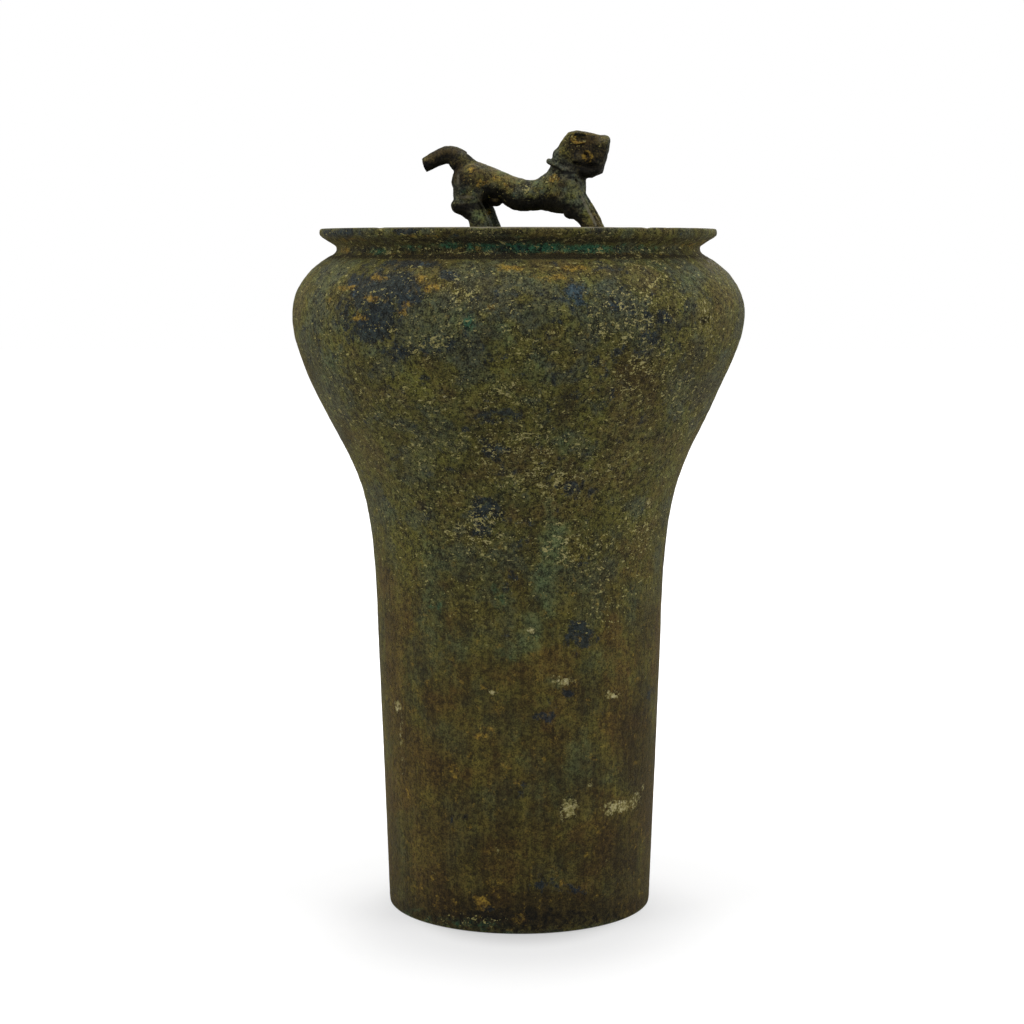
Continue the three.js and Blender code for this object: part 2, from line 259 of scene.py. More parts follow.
def emptyTree(owner):  # a material or a world, whose nodes are placed next
    owner.use_nodes = True
    owner.node_tree.nodes.clear()
    making["tree"] = owner.node_tree
    return owner


def useTree(piece, tree, settings):  # settings are set by each input's identifier
    modifier = piece.modifiers.new(tree.name, "NODES")
    modifier.node_group = tree
    for item in tree.interface.items_tree:
        if item.item_type == "SOCKET" and item.in_out == "INPUT" and item.name in settings:
            modifier[item.identifier] = settings[item.name]


def grouped(group, **inputs):
    return place("ShaderNodeGroup", inputs, node_tree=group)


# Shared effects of the finish, each a group placed with its own values

def makeGrain():  # fine sandy grain from two sizes of noise, about 0 to 1
    inputs = {"Vector": "Vector", "Size": 1.0, "Contrast": 1.0}
    given = newTree("sandGrain", "Shader", inputs, {"Grain": "Float"})
    fine = noise(given["Vector"], given["Size"], 2.0, 0.7)
    wide = noise(given["Vector"], given["Size"] * 3.1, 3.0, 0.6)
    spread = (fine * 0.55 + wide * 0.45 - 0.5) * given["Contrast"]
    return closeTree({"Grain": reckon("MULTIPLY_ADD", spread, 2.6, 0.5, clamp=True)})


def makeBrokenPatch():  # a soft painted mask turned into crust with ragged edges and holes
    inputs = {"Vector": "Vector", "Mask": 0.0, "Size": 5.0, "Edge": 0.1, "Ragged": 1.5}
    given = newTree("brokenPatch", "Shader", inputs, {"Patch": "Float"})
    broken = noise(given["Vector"], given["Size"], 9.0, 0.74)
    level = given["Mask"] + (broken - 0.5) * given["Ragged"]
    patch = ramp(level, 0.5 - given["Edge"], 0.5 + given["Edge"])
    return closeTree({"Patch": patch * ramp(given["Mask"], 0.01, 0.25)})


fleckSteps = {  # start and end of each soft step, and what it gives there if not 0 and 1
    "drifts": (0.4, 0.6, 0.1, 1.4),
    "crumbs": (0.74, 0.78),
    "lines": (0.02, 0.06, 1.0, 0.0),
    "breaks": (0.67, 0.71),
    "shown": (0.0, 0.05),
    "pick": (0.38, 0.62),
}


def makeFlecks():  # crumbs and short strokes of pale corrosion, in drifts, by the density
    inputs = {"Vector": "Vector", "Size": 3.0, "Density": 0.3}
    given = newTree("paleFlecks", "Shader", inputs, {"Flecks": "Float", "Pick": "Float"})
    where, size = given["Vector"], given["Size"]
    wide = where * (0.55, 0.55, 1.0)
    step = fleckSteps
    density = given["Density"] * ramp(noise(where, size * 7.0, 5.0, 0.7), *step["drifts"])
    crumbs = reckon("MULTIPLY_ADD", density, 0.3, noise(where, size, 1.0, 0.5))
    crumbs = ramp(crumbs, *step["crumbs"])
    lines = noise(wide, size * 2.8, 3.0, 0.6) - 0.5
    lines = ramp(reckon("ABSOLUTE", lines), *step["lines"])
    breaks = reckon("MULTIPLY_ADD", density, 0.42, noise(wide, size * 1.9, 2.0, 0.5))
    breaks = ramp(breaks, *step["breaks"])
    flecks = reckon("MAXIMUM", crumbs, lines * breaks) * ramp(given["Density"], *step["shown"])
    pick = ramp(noise(where + (17, 5, 61), 3.0, 2.0, 0.6), *step["pick"])
    return closeTree({"Flecks": flecks, "Pick": pick})


meanHalf = 90.0  # half width in mm, at which a run has its width


def makeRuns():  # streaks that follow the wall down from the shoulder
    inputs = {"Vector": "Vector", "Width": 1.6, "Length": 24.0}
    given = newTree("wallRuns", "Shader", inputs, {"Runs": "Float"})
    x, y, z = split(given["Vector"])
    around = reckon("NORMALIZE", together(x, y / depthPerWidth)) * (meanHalf / given["Width"])
    down = together(0, 0, z / given["Length"])
    runs = noise(around + down, 1.0, 4.0, 0.62)
    return closeTree({"Runs": ramp(runs, 0.3, 0.7)})


grainTree = makeGrain()
patchTree = makeBrokenPatch()
fleckTree = makeFlecks()
runTree = makeRuns()

patinaColours = {
    "slate": "3a4542",
    "tan": "584a2a",
    "bottle": "394a34",
    "russet": "5c421e",
    "navy": "1d2830",
    "azurite": "2c4656",
    "ochre": "9a7e30",
    "rust": "644a22",
    "malachite": "226049",
    "verdigris": "5c6e4a",
    "cream": "d8ce9e",
    "straw": "b4aa68",
    # umber and soot below also serve as painted shade, worn as a painted highlight
    "umberAndShade": "302512",
    "moss": "6a682a",
    "sootAndShade": "0f0e0a",
    "wornAndHighlight": "787260",
    "amber": "5f4b1e",
}
patinaMasks = (
    "navy", "azure", "ochre", "malachite", "teal", "pale", "flecks",
    "umberAndShade", "moss", "sootAndShade", "wornAndHighlight", "smooth", "amber",
)
patinaNoises = {  # shift or stretch of the place, size in mm, detail and roughness
    "mottle": ("shift", (0, 0, 0), 20.0, 6.0, 0.66),
    "drift": ("shift", (9, 61, 4), 38.0, 6.0, 0.6),
    "speckle": ("shift", (31, 7, 3), 2.7, 6.0, 0.75),
    "pits": ("shift", (7, 3, 44), 2.1, 3.0, 0.6),
    "tall": ("stretch", (1.0, 1.0, 0.2), 11.0, 6.0, 0.66),
    "strokes": ("stretch", (1.0, 1.0, 0.08), 1.9, 4.0, 0.6),
}
patinaSteps = {  # start and end of each soft step, and what it gives there if not 0 and 1
    "ground": (0.28, 0.6),
    "cool": (0.51, 0.57),
    "warm": (0.49, 0.42),
    "light": (0.5, 0.62),
    "lightShare": (0.0, 1.0, 0.25, 0.3),
    "brushMoss": (0.55, 0.75),
    "brushUmber": (0.6, 0.42),
    "runs": (0.1, 0.9, 0.55, 1.5),
    "runShare": (0.0, 1.0, 1.0, 0.3),
    "azurite": (0.5, 0.7),
    "iron": (0.36, 0.55),
    "strokes": (0.3, 0.7, -0.17, 0.17),
    "grainShare": (0.0, 1.0, 0.7, 1.0),
    "grain": (0.0, 1.0, 0.25, 1.85),
    "pits": (0.6, 0.7),
    "pitShade": (0.0, 1.0, 1.0, 0.6),
    "chalk": (0.4, 0.5, 0.3, 1.0),
    "chalkTint": (0.46, 0.6),
    "roughness": (0.3, 0.7, 0.6, 0.76),
}
patinaShares = {  # how much of each layer shows
    "cool": 0.66,
    "warm": 0.7,
    "brushMoss": 0.4,
    "brushUmber": 0.48,
    "azurite": 0.5,
    "crumbs": 0.95,
    "pale": 0.95,
}
runSizes = {"narrow": (1.9, 30.0), "wide": (8.0, 80.0)}  # width and length, mm
patches = {  # how much each mask's patches cover, their size share, edge, raggedness and shift
    "moss": (0.8, 2.0, 0.4, 1.8, (5, 40, 9)),
    "teal": (0.8, 1.6, 0.4, 1.8, (70, 4, 2)),
    "amber": (0.75, 3.0, 0.5, 1.4, (4, 55, 8)),
    "umberAndShade": (0.85, 3.0, 0.45, 1.6, (12, 90, 31)),
    "malachite": (0.75, 1.0, 0.3, 2.2, (3, 3, 60)),
    "navy": (0.82, 1.0, 0.1, 2.6, (0, 0, 0)),
    "azure": (0.8, 0.8, 0.2, 2.2, (8, 8, 8)),
    "ochre": (0.8, 0.7, 0.16, 2.5, (40, 2, 5)),
    "sootAndShade": (0.9, 0.5, 0.25, 2.2, (2, 19, 4)),
    "pale": (0.8, 0.42, 0.14, 2.7, (9, 2, 70)),
    "wornAndHighlight": (0.7, 0.5, 0.3, 1.6, (1, 2, 3)),
}


def makePatina():  # everything that lies on the bronze, from masks painted on the mesh; some masks also carry painted shade and painted highlights
    inputs = {"Vector": "Vector", "Ground": "Color", "Shade": "Color", "Light": "Color"}
    inputs |= {"Grain Size": 1.0, "Patch Size": 5.0, "Runs": 0.5}
    inputs |= {name.title(): 0.0 for name in patinaMasks}
    outputs = {"Color": "Color", "Roughness": "Float", "Metallic": "Float", "Height": "Float"}
    given = newTree("bronzePatina", "Shader", inputs, outputs)
    where, smooth = given["Vector"], given["Smooth"]
    hue = {name: linear(value) for name, value in patinaColours.items()}

    def noiseOf(name):
        way, by, *values = patinaNoises[name]
        return noise(where + by if way == "shift" else where * by, *values)

    def step(value, name):
        return ramp(value, *patinaSteps[name])

    def patch(mask):
        _, sizeShare, edge, ragged, shift = patches[mask]
        size = given["Patch Size"] * sizeShare
        spot = where + shift
        return grouped(patchTree, Vector=spot, Mask=given[mask.title()], Size=size, Edge=edge, Ragged=ragged)

    def coat(under, mask, spread, colour):
        return mixColour(spread * patches[mask][0], under, colour)

    grain = grouped(grainTree, Vector=where, Size=given["Grain Size"], Contrast=1.7)
    speckle, drift, tall = noiseOf("speckle"), noiseOf("drift"), noiseOf("tall")
    runs, wideRuns = [grouped(runTree, Vector=where, Width=w, Length=h) for w, h in runSizes.values()]

    rough = 1.0 - smooth
    mottle = noiseOf("mottle") * rough + reckon("MULTIPLY_ADD", tall, 0.5, 0.28) * smooth
    share = patinaShares
    ground = mixColour(step(mottle, "ground"), given["Shade"], given["Ground"])
    cool = mixColour(rough, hue["bottle"], hue["slate"])
    ground = mixColour(step(drift, "cool") * share["cool"], ground, cool)
    warm = mixColour(rough, hue["russet"], hue["tan"])
    ground = mixColour(step(drift, "warm") * share["warm"], ground, warm)
    ground = mixColour(step(speckle, "light") * step(rough, "lightShare"), ground, given["Light"])
    brush = reckon("MULTIPLY_ADD", wideRuns, 0.16, tall)
    for name, colour in (("brushMoss", "moss"), ("brushUmber", "umberAndShade")):
        ground = mixColour(step(brush, name) * smooth * share[name], ground, hue[colour])
    for mask, name in (("moss", "moss"), ("teal", "verdigris"), ("amber", "amber"), ("umberAndShade", "umberAndShade")):
        ground = coat(ground, mask, patch(mask), hue[name])
    runShade = step(runs * 0.5 + wideRuns * 0.5, "runs") - 1.0
    runShare = given["Runs"] * step(rough, "runShare")
    ground = ground * reckon("MULTIPLY_ADD", runShade, runShare, 1.0)

    ground = coat(ground, "malachite", patch("malachite"), hue["malachite"])
    azure = patch("azure")
    crust = reckon("MAXIMUM", patch("navy"), azure)
    deep = mixColour(step(speckle, "azurite") * share["azurite"], hue["navy"], hue["azurite"])
    ground = coat(ground, "navy", crust, coat(deep, "azure", azure, hue["azurite"]))
    bloom = patch("ochre")
    iron = mixColour(step(speckle, "iron"), hue["rust"], hue["ochre"])
    ground = coat(ground, "ochre", bloom, iron)
    # The soot coat also lays painted shade: under the lip, along the foot and under the tiger.
    sootAndShade = patch("sootAndShade")
    ground = coat(ground, "sootAndShade", sootAndShade, hue["sootAndShade"])
    strokes = step(noiseOf("strokes"), "strokes")
    ground = ground * reckon("MULTIPLY_ADD", strokes, smooth, 1.0)
    grainShare = step(rough, "grainShare")
    grainShade = step(grain, "grain") - 1.05
    ground = ground * reckon("MULTIPLY_ADD", grainShade, grainShare, 0.93)
    pits = step(noiseOf("pits"), "pits") * grainShare
    ground = ground * step(pits, "pitShade")

    crumbs = grouped(fleckTree, Vector=where, Size=0.95, Density=given["Flecks"])
    chalk = patch("pale") * step(speckle, "chalk")
    pale = reckon("MAXIMUM", crumbs["Flecks"] * share["crumbs"], chalk * patches["pale"][0])
    tint = mixColour(crumbs["Pick"] * given["Flecks"], hue["straw"], hue["cream"])
    chalkTint = mixColour(step(speckle, "chalkTint"), hue["straw"], hue["cream"])
    ground = mixColour(pale * share["pale"], ground, mixColour(chalk, tint, chalkTint))
    # The worn coat also lays painted highlights: along the lip's top and on the tiger's upper faces and
    # ridges.
    wearAndHighlight = patch("wornAndHighlight")
    ground = coat(ground, "wornAndHighlight", wearAndHighlight, hue["wornAndHighlight"])

    roughness = step(speckle, "roughness") + crust * 0.05 - wearAndHighlight * 0.14
    roughness = reckon("ADD", roughness, pale * 0.12, clamp=True)
    height = grain * (grainShare * 0.3)
    heights = ((speckle * grainShare, 0.8), (crust, 0.2), (pale, 0.22), (bloom, 0.12))
    for mask, amount in (*heights, (runs, 0.06), (sootAndShade, -0.35), (pits, -0.25)):
        height = reckon("MULTIPLY_ADD", mask, amount, height)
    metallic = reckon("MULTIPLY_ADD", wearAndHighlight, 0.35, 0.06)
    return closeTree({"Color": ground, "Roughness": roughness, "Height": height, "Metallic": metallic})


patinaTree = makePatina()

bronze = {
    "specular": 0.18,
    "sheenRoughness": 0.3,
    "sheenTint": "d2be86",
}
finishKeys = ("Ground", "Shade", "Light", "Grain Size", "Patch Size", "Runs")
finishes = {  # the sheen, then a value for each key
    "bellBronze": (0.26, "595627", "343218", "90884c", 0.85, 7.0, 0.35),
    "tigerBronze": (0.04, "56512a", "2a2611", "827c46", 1.15, 3.6, 0.0),
    "spacerBronze": (0.26, "524a2b", "2e2a1b", "746c48", 0.8, 3.0, 0.2),
    "capBronze": (0.04, "47422c", "282419", "666046", 0.8, 4.0, 0.0),
}


def makeBronze(name):  # Object coordinates in mm feed the patina; masks come from the mesh
    material = emptyTree(bpy.data.materials.new(name))
    sheen, *values = finishes[name]
    inputs = {"Vector": place("ShaderNodeTexCoord")["Object"] * (1 / mm)}
    for key, value in zip(finishKeys, values):
        inputs[key] = linear(value) if isinstance(value, str) else value
    for mask in patinaMasks:
        inputs[mask.title()] = place("ShaderNodeAttribute", attribute_name=mask)["Fac"]
    patina = place("ShaderNodeGroup", inputs, node_tree=patinaTree)
    looks = {
        "Normal": place("ShaderNodeBump", {"Height": patina["Height"], "Distance": mm}),
        "Specular IOR Level": bronze["specular"],
        "Sheen Weight": sheen,
        "Sheen Roughness": bronze["sheenRoughness"],
        "Sheen Tint": linear(bronze["sheenTint"]),
        "Base Color": patina["Color"],
        "Roughness": patina["Roughness"],
        "Metallic": patina["Metallic"],
    }
    place("ShaderNodeOutputMaterial", {"Surface": place("ShaderNodeBsdfPrincipled", looks)})
    return material


bellBronze, tigerBronze, spacerBronze, capBronze = [makeBronze(name) for name in finishes]
print("finishes ready")


# Relief of a rough casting, as Geometry Nodes with its sizes in mm

def geometryTree(name, inputs):
    whole = {"Geometry": "Geometry"} | inputs | {"Material": "Material"}
    return newTree(name, "Geometry", whole, {"Geometry": "Geometry"})


def closeGeometry(geometry, given):  # every tree ends in real geometry with its finish on
    solid = place("GeometryNodeRealizeInstances", {"Geometry": geometry})
    coated = place("GeometryNodeSetMaterial", {"Geometry": solid, "Material": given["Material"]})
    return closeTree({"Geometry": coated})


def makeRelief():
    names = [f"{kind} {what}" for kind in ("Wave", "Lump", "Crust") for what in ("Size", "Height")]
    names += ["Smooth Below", "Rough Above", "Least Share", "Seed"]
    given = geometryTree("castRelief", {name: 1.0 for name in names})
    spot = place("GeometryNodeInputPosition") * (1 / mm)
    level = split(spot)[2]

    def layer(kind, detail, seedStep):
        inputs = {"Vector": spot, "Detail": detail, "Scale": 1.0 / given[kind + " Size"]}
        inputs["W"] = given["Seed"] + seedStep
        bumps = place("ShaderNodeTexNoise", inputs, noise_dimensions="4D")[0]
        return (bumps - 0.5) * (given[kind + " Height"] * 2.0)

    fine = layer("Lump", 2.0, 7.3) + layer("Crust", 3.0, 15.1)
    share = ramp(level, given["Smooth Below"], given["Rough Above"], given["Least Share"])
    rise = (layer("Wave", 1.0, 0.0) + fine * share) * ramp(level, 0.4, 4.0)  # flat where it stands
    offset = place("GeometryNodeInputNormal") * (rise * mm)
    moved = place("GeometryNodeSetPosition", {"Geometry": given["Geometry"], "Offset": offset})
    return closeGeometry(moved, given)


# A turned form: each point of the line holds half width, inset and level, and becomes an oval ring

def makeOvalTurning():
    given = geometryTree("ovalTurning", {"Sides": 64, "Depth Per Width": 1.0})
    count = place("GeometryNodeAttributeDomainSize", {"Geometry": given["Geometry"]})["Point Count"]
    sizes = {"Size X": 1.0, "Size Y": 1.0, "Vertices X": given["Sides"] + 1.0, "Vertices Y": count}
    grid = place("GeometryNodeMeshGrid", sizes)
    position = place("GeometryNodeInputPosition")
    across, along, _ = split(position)
    turn = (across + 0.5) * (2 * math.pi)
    row = reckon("ROUND", (along + 0.5) * (count - 1.0))
    inputs = {"Geometry": given["Geometry"], "Value": position, "Index": row}
    station = place("GeometryNodeSampleIndex", inputs, data_type="FLOAT_VECTOR", domain="POINT")
    half, inset, level = split(station[0])
    x = (half - inset) * reckon("COSINE", turn)
    y = (half * given["Depth Per Width"] - inset) * reckon("SINE", turn)
    ring = {"Geometry": grid["Mesh"], "Position": together(x, y, level)}
    turned = place("GeometryNodeSetPosition", ring)
    closed = place("GeometryNodeMergeByDistance", {"Geometry": turned, "Distance": 0.02 * mm})
    return closeGeometry(closed, given)


# Spacers: blocks set at points on the wall, each fitted between its inner and outer face

wallRays = {"outside": 12.0, "inside": -14.0, "length": 30}  # where they start from a spacer, mm
spacerWander = {"Scale": 0.28, "Detail": 2.0}


def makeSpacerTree():
    inputs = {"Shell": "Object", "Width": 7.0, "Height": 6.0, "Grow": 0.0, "Past Wall": 0.0, "Wobble": 0.5}
    given = geometryTree("castSpacers", inputs)
    sizes = {"Size": (1, 1, 1), "Vertices X": 13, "Vertices Y": 11, "Vertices Z": 4}
    block = place("GeometryNodeMeshCube", sizes)[0]
    through = split(place("GeometryNodeInputPosition"))[2] + 0.5
    mark = {"Geometry": block, "Name": "through", "Value": through}

    def named(name, kind="FLOAT_VECTOR"):
        return place("GeometryNodeInputNamedAttribute", {"Name": name}, data_type=kind)

    facing, along, centre = named("facing"), named("along"), named("centre")
    axes = {0: facing, 1: along}
    grow = given["Grow"] * 2.0
    copies = {
        "Points": given["Geometry"],
        "Instance": place("GeometryNodeStoreNamedAttribute", mark),
        "Rotation": place("FunctionNodeAxesToRotation", axes, primary_axis="Z", secondary_axis="X"),
        "Scale": together((given["Width"] + grow) * mm, (given["Height"] + grow) * mm, 10 * mm),
    }
    solid = place("GeometryNodeRealizeInstances", {"Geometry": place("GeometryNodeInstanceOnPoints", copies)})

    position = place("GeometryNodeInputPosition")
    wander = place("ShaderNodeTexNoise", {"Vector": position * (1 / mm)} | spacerWander)
    wobbled = position + (wander[1] - (0.5, 0.5, 0.5)) * (given["Wobble"] * (2 * mm))
    depth = reckon("DOT_PRODUCT", wobbled - centre, facing)["Value"]
    inPlane = wobbled - facing * depth
    target = place("GeometryNodeObjectInfo", {"Object": given["Shell"]})["Geometry"]

    def hit(away):  # where a ray towards the wall from one side meets it
        ray = {
            "Target Geometry": target,
            "Source Position": inPlane + facing * (away * mm),
            "Ray Direction": facing * -math.copysign(1, away),
            "Ray Length": wallRays["length"] * mm,
        }
        return place("GeometryNodeRaycast", ray)["Hit Position"]

    outer, inner = hit(wallRays["outside"]), hit(wallRays["inside"])
    through = named("through", "FLOAT")
    past = (through - 0.5) * given["Past Wall"] * (2 * mm)
    fitted = inner + (outer - inner) * through + facing * past
    return closeGeometry(place("GeometryNodeSetPosition", {"Geometry": solid, "Position": fitted}), given)


# Copies of one piece set at points, each with its own turn about the vertical

def makeCopyTree():
    given = geometryTree("setAtPoints", {"Copied": "Object", "Seed": 1})
    source = place("GeometryNodeObjectInfo", {"Object": given["Copied"]})["Geometry"]
    turns = {0: (0, 0, 0), 1: (0, 0, 6.28), "Seed": given["Seed"]}
    turn = place("FunctionNodeRandomValue", turns, data_type="FLOAT_VECTOR")
    copies = {"Points": given["Geometry"], "Instance": source, "Rotation": turn}
    return closeGeometry(place("GeometryNodeInstanceOnPoints", copies), given)


reliefTree = makeRelief()
turningTree = makeOvalTurning()
spacerTree = makeSpacerTree()
copyTree = makeCopyTree()


def turned(name, stations, sides, depthShare, material):
    piece = pieceFrom(name, stations, [])
    useTree(piece, turningTree, {"Sides": sides, "Depth Per Width": depthShare, "Material": material})
    keepMade(piece)
    return piece


def roughen(piece, settings, material):
    numbers = {key: float(value) for key, value in settings.items()}
    useTree(piece, reliefTree, numbers | {"Material": material})
    keepMade(piece)


# Bell shell: barrel, shoulder, neck, lip, dish and the inside, in one closed skin, mm

bellShape = {
    "mouthHalf": 80.6,
    "barrelHalf": 87.3,
    "flareHalf": 110.2,
    "shoulderHalf": 135.3,
    "shoulderEdgeHalf": 111.2,
    "neckHalf": 108.3,
    "lipHalf": 118.4,
    "barrelRise": 195,
    "flareRise": 99,
    "shoulderRise": 68,
    "shoulderEdgeRise": 34.8,
    "neckRise": 4.6,
    "lipRise": 10.6,
    "wall": 4.0,
    "floor": 4.0,
    "dishDepth": 16.0,
    "lipThickness": 4.4,
    "lipEdge": 2.0,
    "mouthEdge": 1.3,
    "innerEdge": (0.5, 0.6),  # what is cut off the mouth's inner edge, across and up
    "floorCorner": (1, 0.4, 1.5),  # the same where wall and floor meet inside, and the wall's end below
    "sides": 360,
}
bellRelief = {
    "Wave Size": 75,
    "Wave Height": 0.5,
    "Lump Size": 12,
    "Lump Height": 0.4,
    "Crust Size": 4.5,
    "Crust Height": 0.42,
    "Smooth Below": 110,
    "Rough Above": 270,
    "Least Share": 0.3,
    "Seed": 3,
}
bellLean = ((0, 0.3), (195, 0.3), (260, 0), (318, -1.6), (364, -0.3), (412, -0.7))  # level, drift along X
bellHandles = {  # lean and rise from a station to the handle of its curve
    "steps": (64, 36, 28, 26, 4),
    "barrelRise": 60,
    "flareBelow": (0.5, -25),
    "flareAbove": (0.5, 28),
    "shoulderBelow": (0, -17),
    "shoulderAbove": (0, 15),
    "edgeBelow": (-1.9, -7.5),
    "edgeAbove": (-1.9, 1.0),
    "neckBelow": (-0.4, -2.2),
}
lipLine = {  # shares of the lip's reach and rise, degrees round its edge, shares of the dish and its floor
    "below": ((0.04, 0.08), (0.14, 0.15), (0.3, 0.25), (0.5, 0.37), (0.68, 0.47), (0.82, 0.55)),
    "edge": (-70, -45, -20, 0, 20, 45, 68, 90),
    "above": ((0.52, 0.84), (0.42, 0.66), (0.28, 0.46), (0.12, 0.26), (0, 0.05)),
    "corner": ((0.7, 0), (0.4, 0.2), (0.2, 0.8), (0.08, 1.8), (0.0, 3.4)),
    "dish": (0.92, 0.84, 0.74, 0.62, 0.5, 0.38, 0.26, 0.14, 0),
    "underFloor": (0.95, 0.88, 0.75, 0.6, 0.45, 0.3, 0.15, 0),
}
lipWear = {
    "drop": 0.25,
    "lift": 0.7,  # evens out the relief along the top of the lip
    "levels": (-5, -1),  # from the rim: where the wear begins and is full
    "outwards": (-6, 2),  # the same from the neck
    "above": 0.4,  # how far the lip may rise past the solid
    "waves": ((3, 1.1, 0.4), (7, 0.4, 0.25), (17, 0, 0.2)),  # how many, start and share
    "chips": ((-20, 7, 0.3), (33, 6, 0.25), (-78, 5, 0.45), (71, 3.2, 0.6)),  # x, width, depth
}
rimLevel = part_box("bell_body")[1][2] / mm
dishLevel = rimLevel - bellShape["dishDepth"]
underLevel = dishLevel - bellShape["floor"]


def bezier(points, steps):
    a, b, c, d = [np.array(p, dtype=float) for p in points]
    t = np.linspace(0, 1, steps + 1)[:, None]
    return a * (1 - t) ** 3 + 3 * b * t * (1 - t) ** 2 + 3 * c * t**2 * (1 - t) + d * t**3


def outsideLine():  # (half width, level) from the mouth up to the neck
    s, h = bellShape, bellHandles
    halves = [s[name + "Half"] for name in ("mouth", "barrel", "flare", "shoulder", "shoulderEdge")]
    levels = np.cumsum([0] + [s[name + "Rise"] for name in ("barrel", "flare", "shoulder", "shoulderEdge")])
    mouth, barrel, flare, shoulder, edge = np.column_stack((halves, levels))
    neck = np.array((s["neckHalf"], edge[1] + s["neckRise"]))
    slope = (s["barrelHalf"] - s["mouthHalf"]) / s["barrelRise"]

    def moved(point, lean, rise):
        return point + np.array((lean * rise, rise))

    corners = (
        (mouth, mouth * 0.67 + barrel * 0.33, mouth * 0.33 + barrel * 0.67, barrel),
        (barrel, moved(barrel, slope, h["barrelRise"]), moved(flare, *h["flareBelow"]), flare),
        (flare, moved(flare, *h["flareAbove"]), moved(shoulder, *h["shoulderBelow"]), shoulder),
        (shoulder, moved(shoulder, *h["shoulderAbove"]), moved(edge, *h["edgeBelow"]), edge),
        (edge, edge + h["edgeAbove"], neck + h["neckBelow"], neck),
    )
    pieces = [bezier(points, steps) for points, steps in zip(corners, h["steps"])]
    return np.concatenate([pieces[0]] + [piece[1:] for piece in pieces[1:]])


outside = outsideLine()


def bellLine():  # (half width, inset, level) all the way round the section, from floor to floor
    s = bellShape
    along = np.gradient(outside, axis=0)
    along /= np.linalg.norm(along, axis=1)[:, None]
    across, up = s["innerEdge"]
    inner = [(s["mouthHalf"], s["wall"] - across, 0), (s["mouthHalf"], s["wall"], up)]
    across, up, wallEnd = s["floorCorner"]
    for (half, level), (sideways, upward) in list(zip(outside, along))[3::3]:
        within = level + s["wall"] * sideways
        if within < underLevel - wallEnd:
            inner.append((half, s["wall"] * upward, within))
    corner = inner[-1][0] - inner[-1][1]
    inner.append((corner - across, 0, underLevel - up))
    inner += [(corner * share, 0, underLevel) for share in lipLine["underFloor"]]
    line = inner[::-1]
    for angle in (90, 60, 30):  # the mouth's rounded outer edge
        a = math.radians(angle)
        edge = s["mouthEdge"]
        line.append((s["mouthHalf"], edge * (1 - math.cos(a)), edge * (1 - math.sin(a))))
    line += [(half, 0, level) for half, level in outside[1:]]

    neck, neckLevel = s["neckHalf"], outside[-1, 1]
    reach, rise, edge = s["lipHalf"] - neck, s["lipRise"], s["lipEdge"]
    for out, up in lipLine["below"]:
        line.append((neck + reach * out, 0, neckLevel + rise * up))
    for angle in lipLine["edge"]:
        a = math.radians(angle)
        middle = rimLevel - edge if angle > 0 else rimLevel - s["lipThickness"] + edge
        line.append((s["lipHalf"], edge * (1 - math.cos(a)), middle + edge * math.sin(a)))
    for inset in (edge + 1, edge + 2):
        line.append((s["lipHalf"], inset, rimLevel - 0.1 * inset))
    for out, up in lipLine["above"]:
        line.append((neck + reach * out, s["wall"], neckLevel + rise * up))
    drop = neckLevel - dishLevel
    for share, inset in lipLine["corner"]:
        line.append((neck, s["wall"] + inset, dishLevel + drop * share))
    for share in lipLine["dish"]:
        line.append(((neck - s["wall"]) * share, 0, dishLevel))
    return line


def leanAndWear(piece):  # the casting's slight lean, and an uneven lip with old chips
    p = pointsOf(piece)
    levels, drifts = zip(*bellLean)
    p[:, 0] += np.interp(p[:, 2], levels, drifts)
    turn = np.arctan2(p[:, 1], p[:, 0])
    uneven = sum(np.sin(count * turn + start) * share for count, start, share in lipWear["waves"])
    drop = lipWear["drop"] * (0.5 + 0.5 * uneven)
    for x, width, depth in lipWear["chips"]:
        drop += depth * np.exp(-(((p[:, 0] - x) / width * 2) ** 2)) * (p[:, 1] < 0)
    onLip = soft(*[rimLevel + step for step in lipWear["levels"]], p[:, 2])
    reach = np.hypot(p[:, 0], p[:, 1] / depthPerWidth)
    onLip *= soft(*[bellShape["neckHalf"] + step for step in lipWear["outwards"]], reach)
    p[:, 2] += onLip * (lipWear["lift"] - drop)
    low, high = np.array(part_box("bell_body")) / mm
    p = np.clip(p, low, high + (0, 0, lipWear["above"]))
    setPoints(piece, p)


bellShell = turned("bellShell", bellLine(), bellShape["sides"], depthPerWidth, bellBronze)
roughen(bellShell, bellRelief, bellBronze)
leanAndWear(bellShell)
print("bell shell:", len(bellShell.data.vertices), "points")


# Spacers, by the CAD's own levels and turns, and the pockets they sit in

spacerSize = {"Width": 7.0, "Height": 6.0, "Wobble": 0.5}
pocketGap = 0.12
cutPast = {"pocket": 3.0, "drill": 4}  # how far the cutters reach past the metal
spacerRows = {  # level and the first spacer's turn in degrees
    "shoulder": (361, -39),
    "flare": (254, -37),
    "barrel": (151, -73),
    "mouth": (74, -43),
}
floorSpacerReach = 74
sunkSpacer = {  # the pit in the shoulder
    "at": (103.8, -74.4, 361.0),
    "reach": 6.0,
    "depth": 2.4,
    "face": (-1.2, 0.4),  # outwards from its place: where its outer face begins and is full
}


def wallPlace(level, turnDegrees):  # centre, outward direction and level direction on the outside
    a = math.radians(turnDegrees)
    half = np.interp(level, outside[:, 1], outside[:, 0])
    slope = np.interp(level, outside[:, 1], np.gradient(outside[:, 0], outside[:, 1]))
    deep = half * depthPerWidth
    out = Vector((deep * math.cos(a), half * math.sin(a), 0)).normalized()
    along = Vector((-out.y, out.x, 0))
    out.z = -slope
    return (half * math.cos(a), deep * math.sin(a), level), out.normalized(), along


